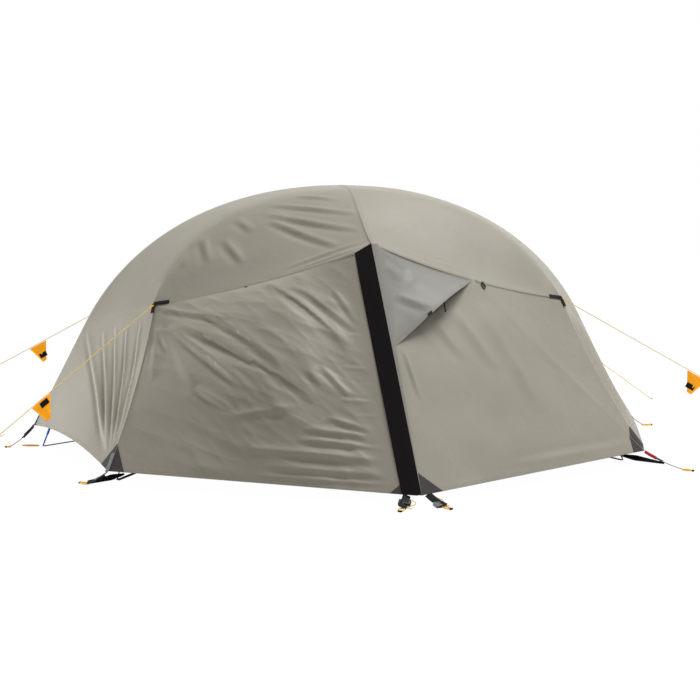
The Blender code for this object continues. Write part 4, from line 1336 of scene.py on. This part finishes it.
def tray():
    """The floor: a flat tray with walls that lean and ripple a little, and webbing tabs at the poles."""
    rails = inner_rails()
    ring = inner_ring(0, rails, 12) * FLAT
    count = len(ring)
    wave = np.sin(np.arange(count) * 2 * np.pi * TRAY_RIPPLES / count)[:, None]
    rows = []
    for height in TRAY_LEVELS:
        share = height / TRAY_LEVELS[-1]
        lean = TRAY_LEAN * share + TRAY_RIPPLE * share * (1 - share) * 4 * wave
        rows.append(ring - unit(ring) * lean + UP * height)
    points = np.concatenate(rows)
    index = np.arange(len(points)).reshape(-1, count)
    faces = [*tube_faces(index), index[0, ::-1]]
    obj = add_mesh("inner_floor_tray", points, faces, "coated_nylon_floor", points[:, :2])
    far_from_seams(obj)
    face_out(obj)
    thicken(obj, TRAY_THICKNESS)
    smooth_by_angle(obj, CLOTH_ANGLE)
    carry(obj, node="inner_floor", slot="tray_cloth")
    runs = [(rails[0][0], SPINE_FOOT, x, 1) for x in (1, -1)]
    runs += [(rails[1][0], HOOP_FOOT, x, y) for x in (1, -1) for y in (1, -1)]
    tabs = []
    for number, (start, foot, x, y) in enumerate(runs):
        first, last = (place * FLAT * point(x, y, 1) for place in (start, foot))
        along = unit(last - first)
        path = straight(first - along * 0.001, last - along * 0.003, 14)
        path[:, 2] = np.linspace(*FLOOR_TAB_HEIGHTS, 15)
        across = np.cross(UP, along)
        tabs.append(add_band(f"floor_tab_{number}", path, across, *FLOOR_TAB, "webbing_black"))
    for side, x in reversed(SIDES):
        tabs += [peg_strap(f"{end}_{side}_floor_strap", x, y) for end, y in ENDS]
        along = unit(point(x, -0.30 * x, 0))
        across = np.cross(UP, along)
        loop = ring_path(FLOOR_LOOP_PLACE * point(x, 1, 1), along, across, *FLOOR_LOOP)
        tabs.append(
            add_tube(f"floor_loop_{side}", loop, FLOOR_LOOP_RADIUS, "elastic_loop_yellow", closed=True)
        )


def peg_strap(name, x, y):
    """Black webbing from the foot of the hoop pole out to the strap at the same corner of the flysheet."""
    if x * y > 0:
        end = strap_path(CORNER, unit(point(1, -1, 0)), DOOR_CORNER_REACH)[10] - UP * 0.004
    else:
        end = strap_path(CORNER, unit(FLAT), FIXED_CORNER_REACH)[19] + UP * 0.002
    path = straight(PEG_STRAP_START, end, 16) * point(x, y, 1)
    wide = np.interp(np.linspace(0, 1, 17), *PEG_STRAP_WIDTHS)
    across = np.cross(UP, unit(path[-1] - path[0]))
    across = math.cos(STRAP_TURN) * across + math.sin(STRAP_TURN) * np.sign(across[1]) * UP
    return add_band(name, path, across, wide, PEG_STRAP_THICKNESS, "webbing_black")


class TENT_OT_inner(bpy.types.Operator):
    """Breathable inner tent and its tray floor"""

    bl_idname = "tent.inner"
    bl_label = "Inner tent"

    def execute(self, context):
        canopy()
        tray()
        return {"FINISHED"}


# Straps, tabs and patches


def strap_path(hem, flat, reach, count=STRAP_STEPS):
    """The line of a strap from the hem to the ground."""
    start = hem - UP * HEM_DROP
    end = hem * FLAT + UP * PEG_HEIGHT + flat * reach
    return sagged(start, end, UP * -start[2] * STRAP_SAG, count) + UP * STRAP_LIFT


def strap(node, body, hem, flat, reach, wide, cloth, share, loop_length=PEG_LOOP_LENGTH):
    """The strap, webbing for a share of its length and cord from there, with its peg loop."""
    path = strap_path(hem, flat, reach)
    across = np.cross(UP, flat)
    stop = round(STRAP_STEPS * share)
    turn = STRAP_TURN * abs(across[1]) * np.linspace(0.8, 1, STRAP_STEPS + 1)[:, None]
    lie = np.cos(turn) * across + np.sin(turn) * np.sign(across[1]) * UP
    rise = np.sin(turn) * wide / 2 * np.linspace(0, 1, STRAP_STEPS + 1)[:, None] * UP
    add_band(
        f"{node}_webbing", (path + rise)[: stop + 1], lie[: stop + 1], wide, STRAP_THICKNESS, cloth,
        wave=STRAP_RIPPLE, body=body, node=node, slot="webbing",
    )
    if stop < STRAP_STEPS:
        rest = path[stop - 1 :] + UP * 0.0012
        add_tube(f"{node}_cord", rest, STRAP_CORD_RADIUS, "webbing_grey", body=body)
    loop = ring_path(path[-1] - flat * 0.008 + UP * 0.0014, flat, across, loop_length, PEG_LOOP_WIDTH)
    loop[:, 2] = np.maximum(loop[:, 2], 0.0026)
    add_tube(f"{node}_peg_loop", loop, PEG_LOOP_RADIUS, "elastic_loop_yellow", closed=True, body=body)
    end = loop[len(loop) // 2]
    grip = sagged(end - across * LOOP_GRIP_HALF, end + across * LOOP_GRIP_HALF, flat * 0.003, 6)
    add_tube(f"{node}_loop_grip", grip, LOOP_GRIP_RADIUS, "webbing_black", body=body)


def lock(buckle, node, body, hem, flat, reach, wide, plastic, share=0.375, thick=LOCK_THICKNESS):
    """The ladder lock, at a share of the way along the strap."""
    run = strap_path(hem, flat, reach, 40)
    place = round(40 * share)
    along = run[place + 4] - run[place - 4]
    ladder_lock(f"{node}_lock", wide, run[place], along, thick, plastic, body=body, node=buckle)


def pull_cord(node, body, hem, flat):
    """The loose yellow cord that slackens the lock at the foot of the zip."""
    middle = strap_path(hem, flat, TIP_REACH, 8)[4]
    across = np.cross(UP, flat)
    t = np.linspace(0, 1, 30)[:, None]
    path = middle + across * (0.022 + 0.014 * np.sin(7 * t)) + flat * (0.050 * t - 0.020) + UP * 0.006
    path[:, 2] = np.maximum(0.0028, path[:, 2] - 0.030 * t[:, 0])
    add_tube(f"{node}_pull_cord", path, PULL_CORD_RADIUS, "elastic_loop_yellow", body=body)


def adjuster(buckle, node, hem, flat, reach):
    """The small cord runner on a strap that ends in cord."""
    run = strap_path(hem, flat, reach, 4)
    middle = (run[1] + run[2]) / 2 + UP * 0.0012
    cord_runner(f"{node}_runner", middle, run[2] - run[1], UP, node=buckle)


class TENT_OT_straps(bpy.types.Operator):
    """Webbing straps at the hem with their ladder locks and peg loops"""

    bl_idname = "tent.straps"
    bl_label = "Hem straps"

    def execute(self, context):
        wide = context.scene.tent_sizes.webbing_width
        for side, x in SIDES:
            node, hem, flat = f"end_strap_{side}", END * point(x, 1, 1), RIGHT * x
            strap(node, "tent", hem, flat, END_REACH, wide, "webbing_black", 0.40, 0.030 + 0.012 * x)
            adjuster(f"end_buckle_{side}", node, hem, flat, END_REACH)
            for end, y in ENDS:
                hem = CORNER * point(x, y, 1)
                node, buckle = f"{end}_strap_{side}", f"{end}_buckle_{side}"
                if x * y > 0:
                    hem = hem - UP * 0.003
                    flat = unit(point(x, -y, 0))
                    strap(node, "tent", hem, flat, DOOR_CORNER_REACH, wide * 0.8, "webbing_red", 0.32)
                    adjuster(buckle, node, hem, flat, DOOR_CORNER_REACH)
                else:
                    flat = unit(point(x, y, 0))
                    strap(node, "tent", hem, flat, FIXED_CORNER_REACH, wide, "webbing_black", 1.0)
                    plastic = "moulded_nylon_black"
                    lock(buckle, node, "tent", hem, flat, FIXED_CORNER_REACH, wide, plastic)
        wide *= 1.5
        for side, flip in TURN.items():
            for node, body, x, share, plastic in (
                (f"{side}_tip_strap", "tent", -1, 0.45, "moulded_nylon_black"),
                (f"{side}_door_strap", f"{side}_door", 1, 0.72, "moulded_nylon_grey"),
            ):
                hem = TIP + (CORNER - TIP) * (TIP_STRAP_OFFSET / CORNER[0]) - UP * 0.0007
                hem = hem * point(x, 1, 1) * flip
                flat = unit(point(0.45 * x, -1, 0)) * flip
                strap(node, body, hem, flat, TIP_REACH, wide, "webbing_black", 1.0)
                lock(None, node, body, hem, flat, TIP_REACH, wide, plastic, share, TIP_LOCK_THICKNESS)
                pull_cord(node, body, hem, flat)
        return {"FINISHED"}


def guy_tab(name, flip):
    """Black webbing sewn over the three seams that meet where the guyline starts."""
    for part, path in (("eave", eave_line(200)[186:201:2]), ("leg", leg_seam(200)[0:13:2])):
        across = unit(np.cross(TAB_OUT, path[-1] - path[0]))
        path = path + TAB_OUT * 0.003
        add_band(f"{name}_tab_{part}", path, across, *GUY_TAB, "webbing_black", flip=flip)
    start, foot = guy_ends(name)
    along = unit(foot - start)
    loop = ring_path(start - along * 0.004, along, unit(np.cross(along, UP)), *TAB_LOOP)
    add_tube(f"{name}_tab_loop", loop, TAB_LOOP_RADIUS, "elastic_loop_yellow", closed=True)


def bindings():
    """Rolled hems along the eaves, the ridge and the legs, which stand a little off the cloth."""
    for end, y in ENDS:
        for side, x in SIDES:
            flip = point(x, y, 1)
            runs = [eave_line(60)]
            if x * y > 0:
                runs = [eave_line(30, 0, VENT_SHARE - 0.010), eave_line(30, VENT_SHARE + 0.014)]
            across = unit(np.cross(EAVE_OUT, TAB - EAVE))
            for number, run in enumerate(runs, 1):
                name = f"{end}_{side}_eave_hem_{number}"
                sewn_hem(name, run + EAVE_OUT * 0.0010, across, *EAVE_HEM, flip)
            if x * y < 0:
                out = unit(unit(TAB * FLAT) + UP * 0.35)
                across = unit(np.cross(out, CORNER - TAB))
                leg = leg_seam(60) + out * 0.0002
                sewn_hem(f"{end}_{side}_leg_hem", leg, across, *LEG_HEM, flip)
        flat, drop = ridge_lines(20, 50)
        ridge = np.concatenate([flat, drop[1:]]) * point(1, y, 1)
        lift = unit(np.cross(np.gradient(ridge, axis=0), RIGHT))
        lift *= np.sign(lift[:, 2:])
        sewn_hem(f"{end}_ridge_seam", ridge + lift * 0.0003, RIGHT, *RIDGE_SEAM, 1)


def sewn_hem(name, run, across, width, thickness, flip):
    far_from_seams(add_band(name, run, across, width, thickness, "ripstop_nylon_sand", flip=flip))


def corner_patch(name, flip, door):
    """Dark reinforcement sewn over the corner of the hem, on the panels that meet there."""
    leg = leg_seam(40)[34]
    hem_in = CORNER + (TIP - CORNER) * 0.055
    hem_side = end_hem(40)[3]
    if door:
        hinge = CORNER + (VENT_TIP - CORNER) * 0.085
        low = CORNER + (leg - CORNER) * 0.10
        clear = unit(np.cross(HINGE, DOOR_OUT)) * HINGE_CLEARANCE
        clear *= np.sign(clear @ (leg - CORNER))
        patch(f"{name}_patch_end", (low, leg, hem_side), flip)
        patch(f"{name}_patch_gusset", (low, leg, hinge + clear), flip)
        corners = (CORNER + (hem_in - CORNER) * 0.08, hinge - clear, hem_in)
        patch(f"{name}_patch_door", corners, flip, door)
    else:
        tape = leg_seam(60)[54:61] + unit(CORNER * FLAT) * 0.0048
        across = unit(np.cross(CORNER - TAB, CORNER * FLAT))
        add_band(f"{name}_patch_tape", tape, across, *PATCH_TAPE, "webbing_grey", flip=flip)
        patch(f"{name}_patch_end", (CORNER, leg, hem_side), flip)
        patch(f"{name}_patch_front", (CORNER, leg, hem_in), flip)


def tip_patches(side, flip):
    """Reinforcement at the foot of the zip, one piece on the fixed half and one on the door."""
    for part, x, near, body in (
        ("fixed", -1, FIXED_SIDE, "tent"), ("door", 1, DOOR_SIDE, f"{side}_door")
    ):
        foot = TIP + near * x
        hem = foot + (CORNER * point(x, 1, 1) - TIP) * 0.085
        patch(f"{side}_tip_patch_{part}", (foot, foot - ZIP_DOWN * 0.085, hem), flip, body)


def patch(name, corners, flip, body="tent"):
    """A thin sewn triangle, set a little off the cloth below it."""
    a, b, c = corners
    out = unit(np.cross(b - a, c - a))
    lift = out * np.sign(out @ (a - INSIDE)) * PATCH_LIFT
    a, b, c = ((corner + lift) * flip for corner in corners)
    grid = coons(straight(a, b, 8), pinched(c, 8), straight(a, c, 8), straight(b, c, 8))
    sewn = ("low", "left", "right")
    carry(add_cloth(name, [grid], "polyester_patch_grey", sewn, PATCH_THICKNESS), body)


def toggle(name, flip, share):
    """Toggle and loop below the eave that hold the rolled door."""
    place = eave_line(1, share)[0]
    down = unit(CORNER * 0.5 + TIP * 0.5 - place)
    bar = block(f"{name}_toggle", TOGGLE_SIZE, TOGGLE_ROUND, "moulded_nylon_black")
    along = unit(down + 0.6 * unit(TAB - EAVE))
    settle(bar, place + down * 0.016 + EAVE_OUT * 0.007, along, EAVE_OUT, flip)
    loop = ring_path(place + EAVE_OUT * 0.004, down, unit(np.cross(down, EAVE_OUT)), *TOGGLE_LOOP)
    add_tube(f"{name}_toggle_loop", loop, TOGGLE_LOOP_RADIUS, "webbing_black", closed=True, flip=flip)


class TENT_OT_trim(bpy.types.Operator):
    """Tabs at the guylines, seam bindings, corner patches and door toggles"""

    bl_idname = "tent.trim"
    bl_label = "Trim"

    def execute(self, context):
        for end, y in ENDS:
            for side, x in SIDES:
                name, flip = f"{end}_{side}", point(x, y, 1)
                guy_tab(name, flip)
                corner_patch(name, flip, f"{end}_door" if x * y > 0 else None)
                toggle(name, flip, 0.555 if x * y > 0 else 0.585)
        bindings()
        for side, x in SIDES:
            rise = END + (SHOULDER - END) * 0.11
            for end, y in ENDS:
                patch(f"{side}_end_patch_{end}", (END, rise, end_hem(40)[39]), point(x, y, 1))
        for side, flip in TURN.items():
            tip_patches(side, flip)
        return {"FINISHED"}


class TENT_OT_frame_finish(bpy.types.Operator):
    """Finishes of the poles, pole tips and crossing clips"""

    bl_idname = "tent.frame_finish"
    bl_label = "Poles"

    def execute(self, context):
        finishes = {
            "spine_pole": "anodised_alloy_blue",
            "front_hoop_pole": "anodised_alloy_red",
            "back_hoop_pole": "anodised_alloy_red",
            "ridge_pole": "anodised_alloy_silver",
            "spine_clip": "moulded_nylon_black",
            "front_hoop_clip": "moulded_nylon_black",
            "back_hoop_clip": "moulded_nylon_black",
        }
        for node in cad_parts:
            if "_tip_left" in node or "_tip_right" in node:
                finishes[node] = "anodised_alloy_blue" if "spine" in node else "anodised_alloy_silver"
        for node, material in finishes.items():
            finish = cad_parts[node].data.materials
            finish.clear()
            finish.append(materials()[material])
        return {"FINISHED"}


# Stage


def mix_shaders(tree, share, first, second, output):
    mix = add_node(tree, "ShaderNodeMixShader", i0=share, i1=first, i2=second)
    tree.links.new(mix.outputs["Shader"], tree.nodes[output].inputs["Surface"])


def floor():
    """A wide pale floor that shows white to the camera but keeps a soft shadow."""
    bpy.ops.object.select_all(action="DESELECT")
    bpy.ops.mesh.primitive_plane_add(size=60)
    ground = bpy.context.active_object
    ground.name = "studio_floor"
    material, tree, shader = new_material(
        "pale_floor", {"Base Color": (0.80, 0.80, 0.80, 1), "Roughness": 0.9}
    )
    path = add_node(tree, "ShaderNodeLightPath").outputs
    white = add_node(tree, "ShaderNodeEmission", {"Color": (1, 1, 1, 1), "Strength": 1.03})
    share = maths(tree, "MULTIPLY", path["Is Camera Ray"], 0.96)
    mix_shaders(tree, share, shader.outputs["BSDF"], white.outputs["Emission"], "Material Output")
    ground.data.materials.append(material)


def sky(scene):
    """An even light all round, white to the camera and in reflections."""
    scene.world = bpy.data.worlds.new("studio_sky")
    scene.world.use_nodes = True
    tree = scene.world.node_tree
    light = tree.nodes["Background"]
    light.inputs["Color"].default_value = (1.0, 1.0, 1.0, 1)
    light.inputs["Strength"].default_value = SKY_STRENGTH
    white = add_node(tree, "ShaderNodeBackground", {"Color": (1, 1, 1, 1), "Strength": 1.0})
    path = add_node(tree, "ShaderNodeLightPath").outputs
    seen = maths(tree, "MAXIMUM", path["Is Camera Ray"], path["Is Glossy Ray"])
    mix_shaders(tree, seen, light.outputs["Background"], white.outputs["Background"], "World Output")


def add_lamp(scene, name, place, target, size, power, spread):
    light = bpy.data.lights.new(name, "AREA")
    light.size = size
    light.energy = power
    light.spread = math.radians(spread)
    obj = bpy.data.objects.new(name, light)
    scene.collection.objects.link(obj)
    obj.location = place
    obj.rotation_euler = (Vector(target) - Vector(place)).to_track_quat("-Z", "Y").to_euler()


class TENT_OT_stage(bpy.types.Operator):
    """Pale floor, soft studio light and the camera"""

    bl_idname = "tent.stage"
    bl_label = "Stage"

    def execute(self, context):
        scene = context.scene
        scene.view_settings.view_transform = "Standard"
        floor()
        sky(scene)
        for lamp in LAMPS:
            add_lamp(scene, *lamp)
        lens = bpy.data.cameras.new("photo_camera")
        lens.lens = LENS_LENGTH
        lens.sensor_width = SENSOR_WIDTH
        camera = bpy.data.objects.new("photo_camera", lens)
        scene.collection.objects.link(camera)
        camera.location = CAMERA_PLACE
        camera.rotation_euler = CAMERA_TURN
        scene.camera = camera
        return {"FINISHED"}


class TENT_PT_panel(bpy.types.Panel):
    """Lists the tent's pieces in the sidebar"""

    bl_idname = "TENT_PT_panel"
    bl_label = "Dome tent"
    bl_space_type = "VIEW_3D"
    bl_region_type = "UI"
    bl_category = "Tent"

    def draw(self, context):
        for group in (context.scene.tent_sizes, context.scene.tent_colours):
            for key in group.bl_rna.properties.keys():
                if key not in {"rna_type", "name"}:
                    self.layout.prop(group, key)
        for operator in OPERATORS:
            self.layout.operator(operator.bl_idname)


OPERATORS = (
    TENT_OT_guylines,
    TENT_OT_flysheet,
    TENT_OT_doors,
    TENT_OT_inner,
    TENT_OT_straps,
    TENT_OT_trim,
    TENT_OT_frame_finish,
    TENT_OT_stage,
)
CLASSES = (TentSizes, TentColours, *OPERATORS, TENT_PT_panel)


def register():
    for cls in CLASSES:
        bpy.utils.register_class(cls)
    bpy.types.Scene.tent_sizes = bpy.props.PointerProperty(type=TentSizes)
    bpy.types.Scene.tent_colours = bpy.props.PointerProperty(type=TentColours)


def unregister():
    del bpy.types.Scene.tent_colours
    del bpy.types.Scene.tent_sizes
    for cls in reversed(CLASSES):
        bpy.utils.unregister_class(cls)


def main():
    register()
    bpy.ops.tent.guylines()
    bpy.ops.tent.flysheet()
    bpy.ops.tent.doors()
    bpy.ops.tent.inner()
    bpy.ops.tent.straps()
    bpy.ops.tent.trim()
    bpy.ops.tent.frame_finish()
    bpy.ops.tent.stage()


if __name__ == "__main__":
    main()
